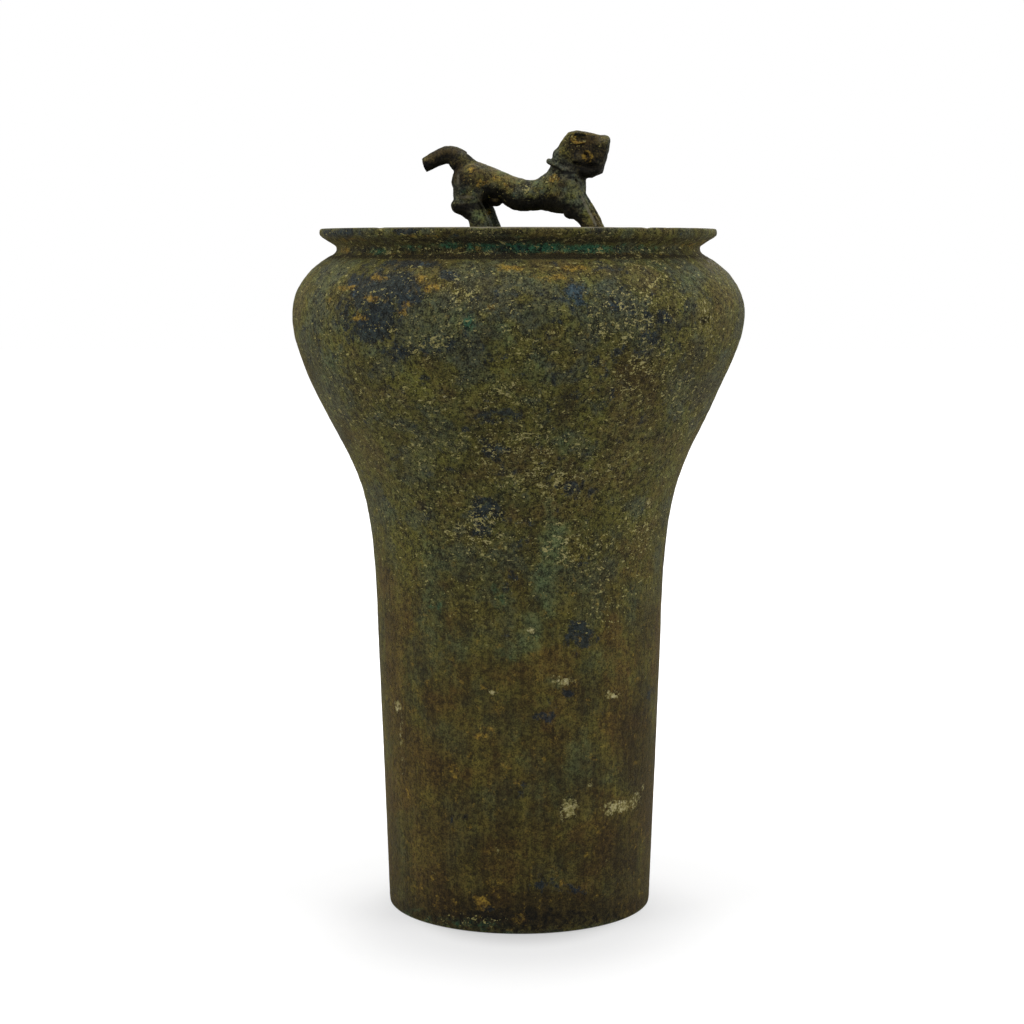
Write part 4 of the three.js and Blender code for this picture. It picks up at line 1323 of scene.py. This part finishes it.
frontMarks = {
    "navy": [
        (343, 233, 22, 5, 0.8), (405, 232, 16, 4, 0.7), (450, 236, 22, 3, 0.5), (350, 252, 20, 6, 0.5),
        (412, 263, 26, 5, 0.85), (450, 275, 16, 6, 0.8), (372, 292, 24, 22, 1.0), (404, 288, 20, 20, 0.95),
        (372, 326, 24, 17, 0.95), (345, 320, 12, 26, 0.5), (400, 350, 24, 12, 0.6), (440, 344, 24, 12, 0.5),
        (385, 300, 40, 34, 0.62), (340, 350, 10, 30, 0.4), (610, 270, 24, 7, 0.5), (612, 308, 22, 9, 0.6),
        (640, 285, 26, 8, 0.4), (655, 316, 24, 10, 0.6), (611, 352, 14, 9, 0.5), (570, 402, 13, 14, 0.5),
        (500, 415, 26, 10, 0.5), (430, 378, 22, 6, 0.4), (497, 450, 20, 13, 0.65), (500, 472, 16, 8, 0.5),
        (575, 489, 28, 10, 0.6), (485, 512, 20, 14, 0.7), (484, 528, 15, 10, 0.75),
        (508, 580, 14, 10, 0.55), (560, 592, 12, 7, 0.6), (584, 563, 9, 5, 0.6), (580, 636, 17, 15, 0.8),
        (596, 641, 6, 5, 0.7), (567, 693, 10, 4, 0.7), (547, 716, 11, 7, 0.8), (548, 700, 6, 8, 0.5),
        (506, 637, 6, 4, 0.6), (651, 694, 6, 12, 0.5), (493, 732, 11, 3, 0.45), (519, 790, 8, 9, 0.4),
        (452, 818, 3, 3, 0.7), (465, 818, 3, 3, 0.7), (545, 885, 20, 12, 0.5), (577, 888, 14, 9, 0.45),
        (486, 909, 8, 4, 0.8), (560, 705, 10, 5, 0.4), (604, 712, 8, 6, 0.35), (520, 545, 12, 7, 0.5),
        (640, 470, 14, 8, 0.4), (650, 345, 34, 20, 0.46), (606, 388, 26, 18, 0.42),
    ],
    "azure": [
        (339, 232, 8, 3, 0.5), (398, 231, 10, 2, 0.45), (397, 267, 7, 4, 0.6), (424, 265, 10, 3, 0.5),
        (577, 291, 14, 10, 0.75), (575, 302, 12, 6, 0.6), (604, 306, 10, 6, 0.55), (446, 272, 7, 3, 0.4),
        (502, 447, 9, 5, 0.4), (486, 517, 7, 5, 0.45), (555, 592, 5, 4, 0.45), (352, 290, 7, 20, 0.4),
    ],
    "ochre": [
        (376, 278, 11, 3.5, 0.75), (423, 279, 7, 5, 0.85), (428, 288, 6, 6, 0.75), (437, 286, 7, 4, 0.55),
        (343, 288, 4, 3, 0.7), (376, 300, 13, 4, 0.55), (402, 311, 6, 7, 0.6), (491, 308, 4, 5, 0.6),
        (508, 268, 18, 3.5, 0.6), (576, 268, 14, 3.5, 0.75), (583, 268, 5, 2.5, 0.9),
        (548, 278, 22, 4, 0.6), (552, 361, 5, 3, 0.5), (378, 258, 14, 4, 0.4), (360, 318, 8, 3, 0.75),
        (330, 296, 6, 8, 0.35), (366, 298, 6, 2.5, 0.7), (352, 287, 6, 3, 0.7), (407, 303, 5, 4, 0.6),
        (520, 255, 190, 2.5, 0.5), (350, 240, 24, 3, 0.45), (690, 243, 24, 4, 0.45),
        (420, 236, 30, 3, 0.35), (345, 250, 8, 5, 0.5), (470, 249, 30, 3, 0.35), (690, 250, 8, 5, 0.35),
        (455, 770, 5, 8, 0.6), (483, 729, 12, 4, 0.55), (498, 705, 4, 3, 0.5), (545, 757, 3, 3, 0.85),
        (477, 738, 4, 3, 0.5), (493, 881, 10, 6, 0.55), (482, 903, 11, 7, 0.75), (470, 892, 8, 6, 0.4),
        (520, 919, 10, 7, 0.7), (437, 899, 7, 4, 0.5), (585, 913, 4, 2.5, 0.5), (562, 880, 5, 5, 0.4),
        (560, 758, 8, 5, 0.3), (553, 742, 6, 10, 0.3), (402, 700, 6, 12, 0.3),
    ],
    "malachite": [
        (532, 247, 28, 7, 1.1), (452, 243, 14, 6, 0.95), (480, 246, 22, 6, 0.8), (590, 249, 30, 6, 0.8),
        (376, 252, 9, 4, 0.7), (425, 247, 26, 5, 0.5), (640, 248, 24, 5, 0.5), (520, 239, 90, 3, 0.35),
        (468, 322, 8, 12, 0.5), (660, 265, 20, 6, 0.3), (438, 603, 14, 12, 0.3), (512, 657, 14, 10, 0.3),
        (476, 923, 28, 6, 0.55), (414, 910, 9, 4, 0.5), (440, 918, 14, 4, 0.45), (500, 597, 12, 14, 0.35),
    ],
    "teal": [
        (504, 337, 14, 16, 0.45), (554, 545, 14, 24, 0.8), (545, 590, 12, 26, 0.75),
        (532, 632, 14, 26, 0.75), (513, 652, 14, 12, 0.5), (436, 600, 16, 18, 0.55),
        (576, 760, 13, 24, 0.65), (600, 665, 20, 26, 0.35), (490, 792, 12, 7, 0.5), (554, 683, 9, 7, 0.7),
        (535, 374, 16, 18, 0.35), (580, 330, 20, 20, 0.35), (560, 440, 20, 20, 0.35),
        (330, 360, 14, 30, 0.35), (520, 500, 16, 14, 0.35), (640, 262, 30, 6, 0.35),
        (690, 275, 20, 10, 0.3), (432, 585, 18, 56, 0.55), (600, 560, 12, 30, 0.3), (585, 800, 16, 12, 0.4),
        (455, 645, 14, 36, 0.45), (549, 565, 9, 60, 0.75), (640, 900, 8, 6, 0.3),
    ],
    "pale": [
        (557, 680, 6, 4, 0.55), (566, 682, 9, 5, 0.6), (612, 695, 8, 4, 0.75), (398, 706, 3.5, 8, 0.6),
        (401, 735, 2, 20, 0.45), (403, 765, 1.8, 14, 0.35), (569, 808, 8, 10, 0.7), (565, 815, 5, 6, 0.6),
        (620, 806, 18, 6, 0.72), (636, 797, 5, 5, 0.55), (610, 811, 8, 5, 0.55), (590, 785, 4, 3, 0.5),
        (642, 786, 2.5, 4, 0.5), (705, 318, 9, 19, 0.44), (703, 302, 6, 8, 0.4), (710, 333, 6, 8, 0.4),
        (443, 397, 4, 4, 0.4), (492, 692.5, 5, 1.1, 0.75), (531, 631, 6, 1.3, 0.65),
        (524, 600, 4, 1.6, 0.5), (649, 502, 2.5, 3.5, 0.7), (404, 853, 2, 5, 0.4), (498, 851, 4, 3, 0.4),
        (479, 861, 4, 2, 0.35), (607, 861, 3, 3, 0.4), (435, 874, 4, 3, 0.35),
    ],
    "flecks": [
        (463, 295, 22, 34, 0.34), (430, 335, 40, 24, 0.3), (628, 322, 44, 34, 0.36),
        (655, 300, 40, 22, 0.28), (640, 370, 40, 34, 0.32), (510, 395, 40, 20, 0.3),
        (525, 440, 40, 10, 0.34), (420, 450, 30, 24, 0.24), (530, 480, 50, 16, 0.3),
        (480, 530, 36, 28, 0.36), (560, 545, 26, 22, 0.36), (640, 530, 24, 36, 0.3),
        (600, 470, 44, 24, 0.24), (690, 400, 20, 60, 0.25), (380, 400, 40, 40, 0.16),
        (540, 350, 60, 40, 0.16), (450, 500, 50, 40, 0.2), (600, 600, 30, 30, 0.16),
        (480, 440, 40, 12, 0.3), (530, 450, 70, 22, 0.3), (420, 285, 60, 30, 0.16), (520, 251, 200, 6, 0.3),
        (520, 240, 200, 4, 0.24), (474, 922, 34, 5, 0.3), (560, 235, 140, 5, 0.2), (640, 262, 60, 8, 0.3),
        (650, 350, 30, 40, 0.28), (520, 460, 60, 40, 0.34), (600, 560, 30, 24, 0.26),
        (560, 480, 30, 20, 0.36), (420, 400, 50, 20, 0.24),
    ],
    # The wide bands along the foot make the bell darker towards the bottom; the bands under the lip are
    # painted shade as well as brown patina.
    "umberAndShade": [
        (640, 375, 36, 34, 0.6), (570, 395, 14, 26, 0.5), (700, 380, 24, 50, 0.5), (665, 320, 28, 20, 0.5),
        (310, 380, 16, 50, 0.5), (345, 430, 16, 40, 0.45), (632, 750, 22, 60, 0.8),
        (646, 790, 10, 110, 0.9), (620, 850, 40, 60, 0.75), (405, 730, 18, 60, 0.6),
        (455, 760, 20, 50, 0.5), (510, 790, 26, 50, 0.6), (560, 850, 60, 50, 0.6), (450, 880, 50, 40, 0.6),
        (395, 850, 12, 70, 0.6), (520, 908, 140, 22, 1.1), (519, 248, 200, 8, 0.6), (490, 840, 30, 30, 0.5),
        (480, 560, 12, 20, 0.5), (650, 640, 14, 80, 0.5), (385, 620, 10, 70, 0.4), (520, 232, 200, 4, 0.55),
        (590, 235, 100, 5, 0.4), (700, 300, 20, 30, 0.3),
    ],
    "moss": [
        (415, 378, 46, 22, 0.6), (430, 455, 30, 16, 0.6), (410, 560, 30, 60, 0.5), (500, 370, 50, 30, 0.35),
        (520, 442, 26, 6, 0.6), (570, 440, 30, 10, 0.5), (600, 520, 36, 40, 0.45), (425, 805, 9, 30, 0.7),
        (423, 850, 9, 26, 0.7), (480, 650, 40, 50, 0.4), (600, 660, 30, 40, 0.35), (545, 770, 12, 30, 0.4),
        (500, 230, 70, 3, 0.5), (560, 232, 60, 3, 0.5), (640, 232, 60, 3, 0.4), (440, 258, 100, 2, 0.7),
        (600, 258, 100, 2, 0.7), (380, 243, 30, 3, 0.6), (660, 240, 40, 3, 0.5), (560, 840, 12, 14, 0.5),
        (590, 835, 10, 14, 0.5), (465, 830, 14, 14, 0.5), (530, 928, 12, 4, 0.7), (410, 480, 20, 30, 0.4),
        (470, 440, 30, 12, 0.5), (530, 880, 12, 10, 0.4), (562, 600, 16, 34, 0.6), (650, 560, 12, 60, 0.4),
        (704, 314, 9, 26, 0.9),
    ],
    # The long dark lines under the lip, in the neck's crevice, along the foot and at the mouth's edge, and
    # the shoulder's crease, are painted shade; the small spots are dark pits.
    "sootAndShade": [
        (519, 256.5, 200, 3.0, 1.1), (519, 240, 200, 3.5, 0.8), (519, 250, 200, 5, 0.4),
        (520, 918, 140, 12, 0.6), (375, 248, 60, 7, 0.5), (670, 250, 50, 6, 0.42), (349, 400, 3, 14, 0.4),
        (357, 421, 3, 8, 0.6), (344, 388, 2, 8, 0.5), (704, 320, 4, 4, 0.9), (485, 731, 2, 2, 0.8),
        (499, 733, 3, 2.5, 0.8), (452, 818, 2, 2, 0.9), (465, 818, 2, 2, 0.9), (566, 400, 8, 12, 0.5),
        (519, 931, 140, 2.5, 0.7), (520, 790, 4, 9, 0.4), (512, 560, 5, 12, 0.3),
    ],
    # The light line along the lip's top is a painted highlight as well as wear.
    "wornAndHighlight": [(519, 227, 200, 1.3, 0.9), (380, 231, 40, 2, 0.2)],
    "amber": [
        (420, 770, 34, 50, 0.8), (432, 840, 30, 44, 0.7), (480, 770, 50, 40, 0.5), (555, 890, 30, 16, 0.6),
        (500, 880, 60, 24, 0.5), (452, 700, 30, 40, 0.6), (705, 316, 14, 34, 0.4), (405, 740, 14, 70, 0.7),
        (490, 735, 24, 16, 0.7), (690, 345, 12, 16, 0.4), (560, 270, 60, 6, 0.5), (430, 285, 30, 12, 0.5),
        (640, 380, 36, 30, 0.4), (570, 350, 30, 30, 0.35), (340, 300, 14, 20, 0.4), (500, 290, 60, 20, 0.3),
        (545, 745, 30, 30, 0.5),
    ],
}
tigerMarks = {
    "ochre": [
        (573, 139, 2.6, 4.5, 1.3), (579, 143, 5, 1.8, 1.2), (587.6, 152, 3.4, 1.6, 1.4),
        (583.8, 156, 1.6, 3, 1.4), (591.4, 156, 1.6, 3, 1.4), (588, 161, 2.6, 2.6, 1.6),
        (554, 178, 5, 4, 1.0), (472, 171, 5, 7, 0.45), (495, 178, 6, 4, 0.5), (506, 184, 6, 5, 0.5),
        (482, 183, 9, 4, 0.55), (487, 210, 3, 8, 0.5), (561, 151, 4, 6, 0.35), (583, 134, 14, 3, 0.35),
        (537, 188, 8, 4, 0.3), (502, 190, 10, 4, 0.4), (466, 180, 5, 6, 0.35), (516, 186, 6, 3, 0.35),
        (560, 157, 4, 3, 0.3),
    ],
    # Dark brown on the head's front, at the mouth and under the chest and hock is painted shade; on the tail
    # and elsewhere it is brown patina.
    "umberAndShade": [
        (427, 165, 6, 6, 0.9), (438, 158, 10, 6, 0.8), (462, 158, 8, 5, 0.6), (484, 198, 8, 8, 0.9),
        (463, 208, 9, 6, 0.9), (561, 185, 5, 3, 0.9), (564, 210, 16, 7, 0.9), (588, 167, 14, 5, 0.9),
        (577, 184, 6, 8, 0.35), (603, 152, 5, 12, 0.9), (585, 166, 20, 7, 0.8), (557, 168, 8, 4, 0.5),
        (453, 180, 2, 14, 0.7), (463, 184, 12, 18, 0.5), (477, 190, 8, 6, 0.6), (540, 202, 30, 4, 0.7),
        (585, 150, 20, 22, 0.95), (458, 172, 8, 22, 0.9), (445, 152, 22, 8, 1.1), (476, 176, 10, 10, 0.6),
    ],
    "malachite": [
        (466, 191, 9, 5, 0.3), (497, 188, 6, 4, 0.2), (510, 195, 14, 5, 0.25), (566, 203, 8, 5, 0.3),
    ],
    "teal": [
        (486, 168, 10, 5, 0.4), (520, 182, 16, 4, 0.45), (445, 147, 12, 3, 0.5), (480, 216, 8, 9, 0.45),
        (500, 173, 20, 5, 0.4), (586, 216, 6, 10, 0.4), (552, 186, 14, 8, 0.35), (576, 203, 9, 7, 0.35),
        (537, 184, 10, 4, 0.4), (474, 196, 6, 6, 0.35),
    ],
    "moss": [
        (583, 135, 14, 3, 0.6), (566, 150, 6, 8, 0.5), (466, 170, 8, 6, 0.5), (530, 196, 12, 5, 0.5),
        (500, 176, 20, 6, 0.5), (550, 184, 20, 8, 0.5), (574, 192, 9, 14, 0.5), (480, 212, 9, 12, 0.5),
        (588, 212, 6, 12, 0.45),
    ],
    # These light marks along the tops of the tail, back and head and on the nose are painted highlights with
    # some wear.
    "wornAndHighlight": [
        (603, 140, 6, 3, 0.5), (577, 156, 5, 4, 0.35), (579, 180, 5, 7, 0.35), (566, 168, 8, 2.4, 0.5),
        (450, 146, 14, 2, 0.4), (478, 164, 8, 2, 0.4), (497, 170, 14, 2, 0.4), (518, 178, 12, 2, 0.4),
        (586, 132.5, 16, 1.6, 0.4),
    ],
    # Dark marks under the jaw, hock, belly and chest, in the mouth line and in the ear are painted shade.
    "sootAndShade": [
        (587, 156, 1.4, 1.4, 0.6), (588, 169, 12, 3.4, 1.0), (567, 173, 10, 1.6, 0.8),
        (572, 177.5, 8, 1.2, 0.8), (560, 212, 16, 5, 0.8), (437, 163, 10, 3, 0.7), (460, 207, 10, 3.4, 0.8),
        (583, 139, 2, 1.6, 0.6), (577, 138, 1.6, 2.4, 0.4), (530, 207, 40, 3, 0.8), (597, 163, 6, 6, 0.5),
        (485, 203, 8, 4, 0.6), (570, 144, 2, 5, 0.5), (463, 186, 12, 18, 0.45), (478, 206, 10, 3.6, 1.2),
        (462, 209, 8, 3, 1.0), (500, 204, 8, 3, 0.9), (545, 201, 10, 4, 0.7), (570, 214, 9, 3.4, 1.0),
        (598, 170, 8, 5, 0.9), (452, 168, 3, 5, 0.9), (430, 166, 10, 4, 1.0), (446, 158, 12, 4, 0.7),
        (583, 158, 20, 14, 0.36), (570, 165, 12, 4, 0.6), (452, 185, 3, 12, 0.7),
    ],
    "flecks": [(554, 178, 7, 4, 0.3), (583, 140, 16, 8, 0.16), (515, 186, 40, 10, 0.16)],
    "amber": [
        (495, 178, 16, 7, 0.5), (515, 186, 14, 6, 0.4), (470, 170, 8, 8, 0.4), (560, 180, 10, 6, 0.4),
        (585, 140, 18, 8, 0.5), (500, 200, 10, 5, 0.6), (555, 196, 8, 6, 0.5), (552, 184, 10, 8, 0.4),
    ],
}
flankMarks = {  # only where the skin faces sideways: a painted highlight down the fore leg's ridge and on the hock's top, with a band of painted shade beside the ridge; a light line on the rump
    "wornAndHighlight": [
        *markLine((582, 198), (595.6, 224), 10, 1.0, 3.0, 0.9),
        (458, 180, 1.8, 9, 0.6), (466, 197, 9, 2, 0.8),
    ],
    "sootAndShade": markLine((587.5, 198), (602, 225), 10, 1.5, 3.4, 0.9),
    "umberAndShade": markLine((588, 200), (601, 225), 8, 2.6, 4.0, 0.9),
}
backMarks = {  # seeded marks for what the photograph hides: how many, levels, size in mm, strength
    "navy": (70, (150, 412), (7, 22), 0.75),
    "azure": (14, (330, 410), (4, 10), 0.6),
    "ochre": (40, (20, 400), (3, 12), 0.7),
    "malachite": (16, (385, 404), (8, 26), 0.8),
    "teal": (26, (90, 380), (10, 26), 0.55),
    "pale": (12, (40, 340), (3, 9), 0.65),
    "flecks": (30, (190, 390), (16, 44), 0.34),
    "umberAndShade": (30, (10, 330), (20, 60), 0.6),
    "moss": (30, (10, 380), (14, 44), 0.55),
    "amber": (22, (10, 360), (14, 40), 0.6),
    "seed": 11,
    "reach": 100,  # mm from the axis, for widths along the wall
}


everywhere = {  # the least share of each colour outside, at the foot and at the shoulder
    "navy": (0.06, 0.24),
    "ochre": (0.2, 0.14),
    "teal": (0.12, 0.2),
    "flecks": (0.0, 0.1),
    "umberAndShade": (0.45, 0.26),
    "moss": (0.25, 0.3),
    "smooth": (1, 0),
    "amber": (0.42, 0.1),
}


insideShares = {  # of each colour in the hollow and in the dish
    "umberAndShade": (0.45, 0.35),
    "malachite": (0.25, 0.3),
    "teal": (0.3, 0.45),
    "flecks": (0, 0.08),
    "sootAndShade": (0.25, 0),
    "ochre": (0, 0.25),
}
wallShares = {
    "lowUmber": 0.55,
    "neckSoot": (0.7, 397.5, 1.6),  # strength, level and half height of the dark line under the lip: painted shade in the neck's crevice, with dark crust
    "wornLip": 0.45,
    "footSoot": 0.42,
}
tigerShares = {  # least share, and what is added where the skin faces down, painted shade, and where it faces up, a painted highlight
    "sootAndShade": (0.12, 0.85, 0),
    "umberAndShade": (0.16, 0.7, 0),
    "wornAndHighlight": (0, 0, 0.22),
}


fades = {  # where a share begins and where it is full: in mm, or by the way the skin faces
    "front": (12, -12),
    "outer": (-5, 15),
    "low": (130, 20),
    "shoulder": (130, 290),
    "foot": (34, 0),
    "under": (0.1, -0.65),
    "upper": (0.3, 0.9),
    "sideways": (0.3, 0.75),
    "mark": (1.9, 0.1),  # in the mark's own half sizes
}


def fade(name, value):
    return soft(*fades[name], value)


def markMask(spots, marks):  # spots in the photograph's pixels
    mask = np.zeros(len(spots))
    for x, y, wide, tall, strength in marks:
        away = np.hypot((spots[:, 0] - x) / wide, (spots[:, 1] - y) / tall)
        mask = np.maximum(mask, strength * fade("mark", away))
    return mask


def hiddenMarks(points):  # marks along the wall and in level, only on the far side
    rng = np.random.default_rng(backMarks["seed"])
    turn = np.arctan2(points[:, 1], points[:, 0])
    masks = {}
    for name in patinaMasks:
        mask = np.zeros(len(points))
        if name in backMarks:
            count, levels, sizes, strength = backMarks[name]
            for _ in range(count):
                at, level = rng.uniform(-0.25, math.pi + 0.25), rng.uniform(*levels)
                wide, tall = rng.uniform(*sizes, 2)
                around = (turn - at + math.pi) % (2 * math.pi) - math.pi
                away = np.hypot(around * backMarks["reach"] / wide, (points[:, 2] - level) / tall * 1.3)
                mask = np.maximum(mask, strength * rng.uniform(0.6, 1) * fade("mark", away))
        masks[name] = mask
    return masks


def paintWall(piece):  # the front from the photograph, the back by the seeded marks, the inside duller
    points, normals = pointsOf(piece), vectorsOf(piece, "normal")
    spots, level = inPhoto(points), points[:, 2]
    front = fade("front", points[:, 1])
    out = points[:, 0] * normals[:, 0] + points[:, 1] / depthPerWidth * normals[:, 1]
    lipTop = soft(rimLevel - 3, rimLevel - 1, level)
    outer = np.maximum(fade("outer", out) * (level > 0.8), lipTop)
    dish = (level > dishLevel - 1) * (1 - outer)
    hollow = (level < dishLevel - 1) * (1 - outer)
    hidden = hiddenMarks(points)
    hidden["umberAndShade"] = np.maximum(hidden["umberAndShade"], wallShares["lowUmber"] * fade("low", level))
    # A dark line under the lip all round: painted shade in the neck's crevice, with dark crust.
    strength, neckLevel, halfHeight = wallShares["neckSoot"]
    hidden["sootAndShade"] = strength * np.exp(-(((level - neckLevel) / halfHeight) ** 2))
    # A light line along the lip's top all round: painted highlight as well as wear.
    hidden["wornAndHighlight"] = wallShares["wornLip"] * lipTop
    for name in patinaMasks:
        mask = markMask(spots, frontMarks.get(name, ())) * front + hidden[name] * (1 - front)
        atFoot, atShoulder = everywhere.get(name, (0, 0))
        mask = np.maximum(mask, atFoot + (atShoulder - atFoot) * fade("shoulder", level))
        # The skin grows darker towards the foot.
        if name == "sootAndShade":
            mask = np.maximum(mask, wallShares["footSoot"] * fade("foot", level))
        inHollow, inDish = insideShares.get(name, (0, 0))
        paint(piece, name, mask * outer + (inHollow * hollow + inDish * dish) * (1 - outer))


def paintTiger(piece):  # both flanks carry the flank that the photograph shows
    points, normals = rotated(pointsOf(piece), -tiger["turn"]), vectorsOf(piece, "normal")
    near = np.column_stack((points[:, 0], -np.abs(points[:, 1]), points[:, 2] - dishLevel))
    spots = inPhoto(turnTiger(near))
    under, upper = fade("under", normals[:, 2]), fade("upper", normals[:, 2])
    sideways = fade("sideways", np.abs(rotated(normals, -tiger["turn"])[:, 1]))
    for name in patinaMasks:
        mask = markMask(spots, tigerMarks.get(name, ()))
        mask = np.maximum(mask, markMask(spots, flankMarks.get(name, ())) * sideways)
        # Where the skin faces down this adds painted shade; where it faces up, a painted highlight.
        least, below, above = tigerShares.get(name, (0, 0, 0))
        paint(piece, name, np.maximum(mask, least + below * under + above * upper))


paintWall(bellShell)
for spacerRow in spacers.values():
    paintWall(spacerRow)
paintTiger(tigerFigure)
print("patina painted")


# A white stage with a painted shadow round the foot, and soft lamps

stage = {
    "floorSize": 14.0,
    "floorColour": "a8a8a8",
    "shadeGlow": (0.36, 0.54),  # the floor's own glow, only seen by the camera, kept low round the foot: a painted shadow
    "shadeReach": (-0.045, -0.015),  # metres outside the foot's oval, once that is moved forward
    # where the painted shadow fades out into the plain floor
    "besideGlow": (0.0, 0.12),
    "besideReach": (-0.015, 0.06),
    # far off the glow rises until the floor shows plain white
    "farGlow": (0.0, 0.34),
    "farReach": (0.07, 0.4),
    "shadeForward": 0.04,
    "footHalf": 0.0806,
    "worldLight": 0.3,
    "aim": (0, 0, 0.3),
}
lamps = {  # place and size in metres, power in watts
    "leftSoftbox": ((-2.1, -0.8, 1.1), 1.2, 27),
    "rightSoftbox": ((2.1, -0.8, 1.0), 1.2, 26),
    "topSoftbox": ((0, 0.2, 2.2), 1.6, 28),
    "backSoftbox": ((0.5, 2.2, 1.3), 1.4, 14),
}


def seenRay():  # 1 for rays from the camera, 0 for light that falls on things
    return place("ShaderNodeLightPath")["Is Camera Ray"]


def makeWorld():
    scene.world = emptyTree(bpy.data.worlds.new("whiteSurround"))
    strength = ramp(seenRay(), 0.0, 1.0, stage["worldLight"], 1.0)
    light = place("ShaderNodeBackground", {"Color": (1, 1, 1, 1), "Strength": strength})
    place("ShaderNodeOutputWorld", {"Surface": light})


def makeFloor():
    half = stage["floorSize"] / 2 / mm
    corners = [(-half, -half, -0.1), (half, -half, -0.1), (half, half, -0.1), (-half, half, -0.1)]
    floor = pieceFrom("paleFloor", corners, [(0, 1, 2, 3)])
    floor.data.materials.append(emptyTree(bpy.data.materials.new("paleFloor")))
    paper = place("ShaderNodeBsdfDiffuse", {"Color": linear(stage["floorColour"])})
    spot = place("ShaderNodeTexCoord")["Object"] + (0, stage["shadeForward"], 0)
    away = reckon("LENGTH", spot * (1, 1 / depthPerWidth, 0))["Value"] - stage["footHalf"]
    # The camera-only glow is lowest round the foot and rises outwards: a painted shadow round the bell, over
    # the floor's real one.
    glowWithPaintedShadow = ramp(away, *stage["shadeReach"], *stage["shadeGlow"])
    for part in ("beside", "far"):
        glowWithPaintedShadow = glowWithPaintedShadow + ramp(away, *stage[part + "Reach"], *stage[part + "Glow"])
    glow = place("ShaderNodeEmission", {"Color": (1, 1, 1, 1), "Strength": seenRay() * glowWithPaintedShadow})
    place("ShaderNodeOutputMaterial", {"Surface": place("ShaderNodeAddShader", {0: paper, 1: glow})})


def makeLamps():
    for name, (at, size, power) in lamps.items():
        light = bpy.data.lights.new(name, "AREA")
        light.size = size
        light.energy = power
        lamp = bpy.data.objects.new(name, light)
        lamp.location = at
        lamp.rotation_euler = (Vector(stage["aim"]) - Vector(at)).to_track_quat("-Z", "Y").to_euler()
        scene.collection.objects.link(lamp)


makeWorld()
makeFloor()
makeLamps()
scene.view_settings.view_transform = "Standard"
print("stage ready")


# Each piece, the body it rides on and the nodes it stands for

def settle(piece, slot, *nodes):
    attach(piece, "root")
    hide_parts(*nodes)


settle(bellShell, "bell_bronze", "bell_body")
settle(tigerFigure, "tiger_bronze", "tiger_handle")
for rowName, spacerRow in spacers.items():
    ends = ("left", "right") if rowName == "floor" else range(1, 5)
    settle(spacerRow, "spacer_bronze", *[f"{rowName}_spacer_{end}" for end in ends])
capNames = [f"tenon_cap_{leg}_{side}" for leg in ("hind", "fore") for side in ("left", "right")]
settle(tenonCaps, "cap_bronze", *capNames)
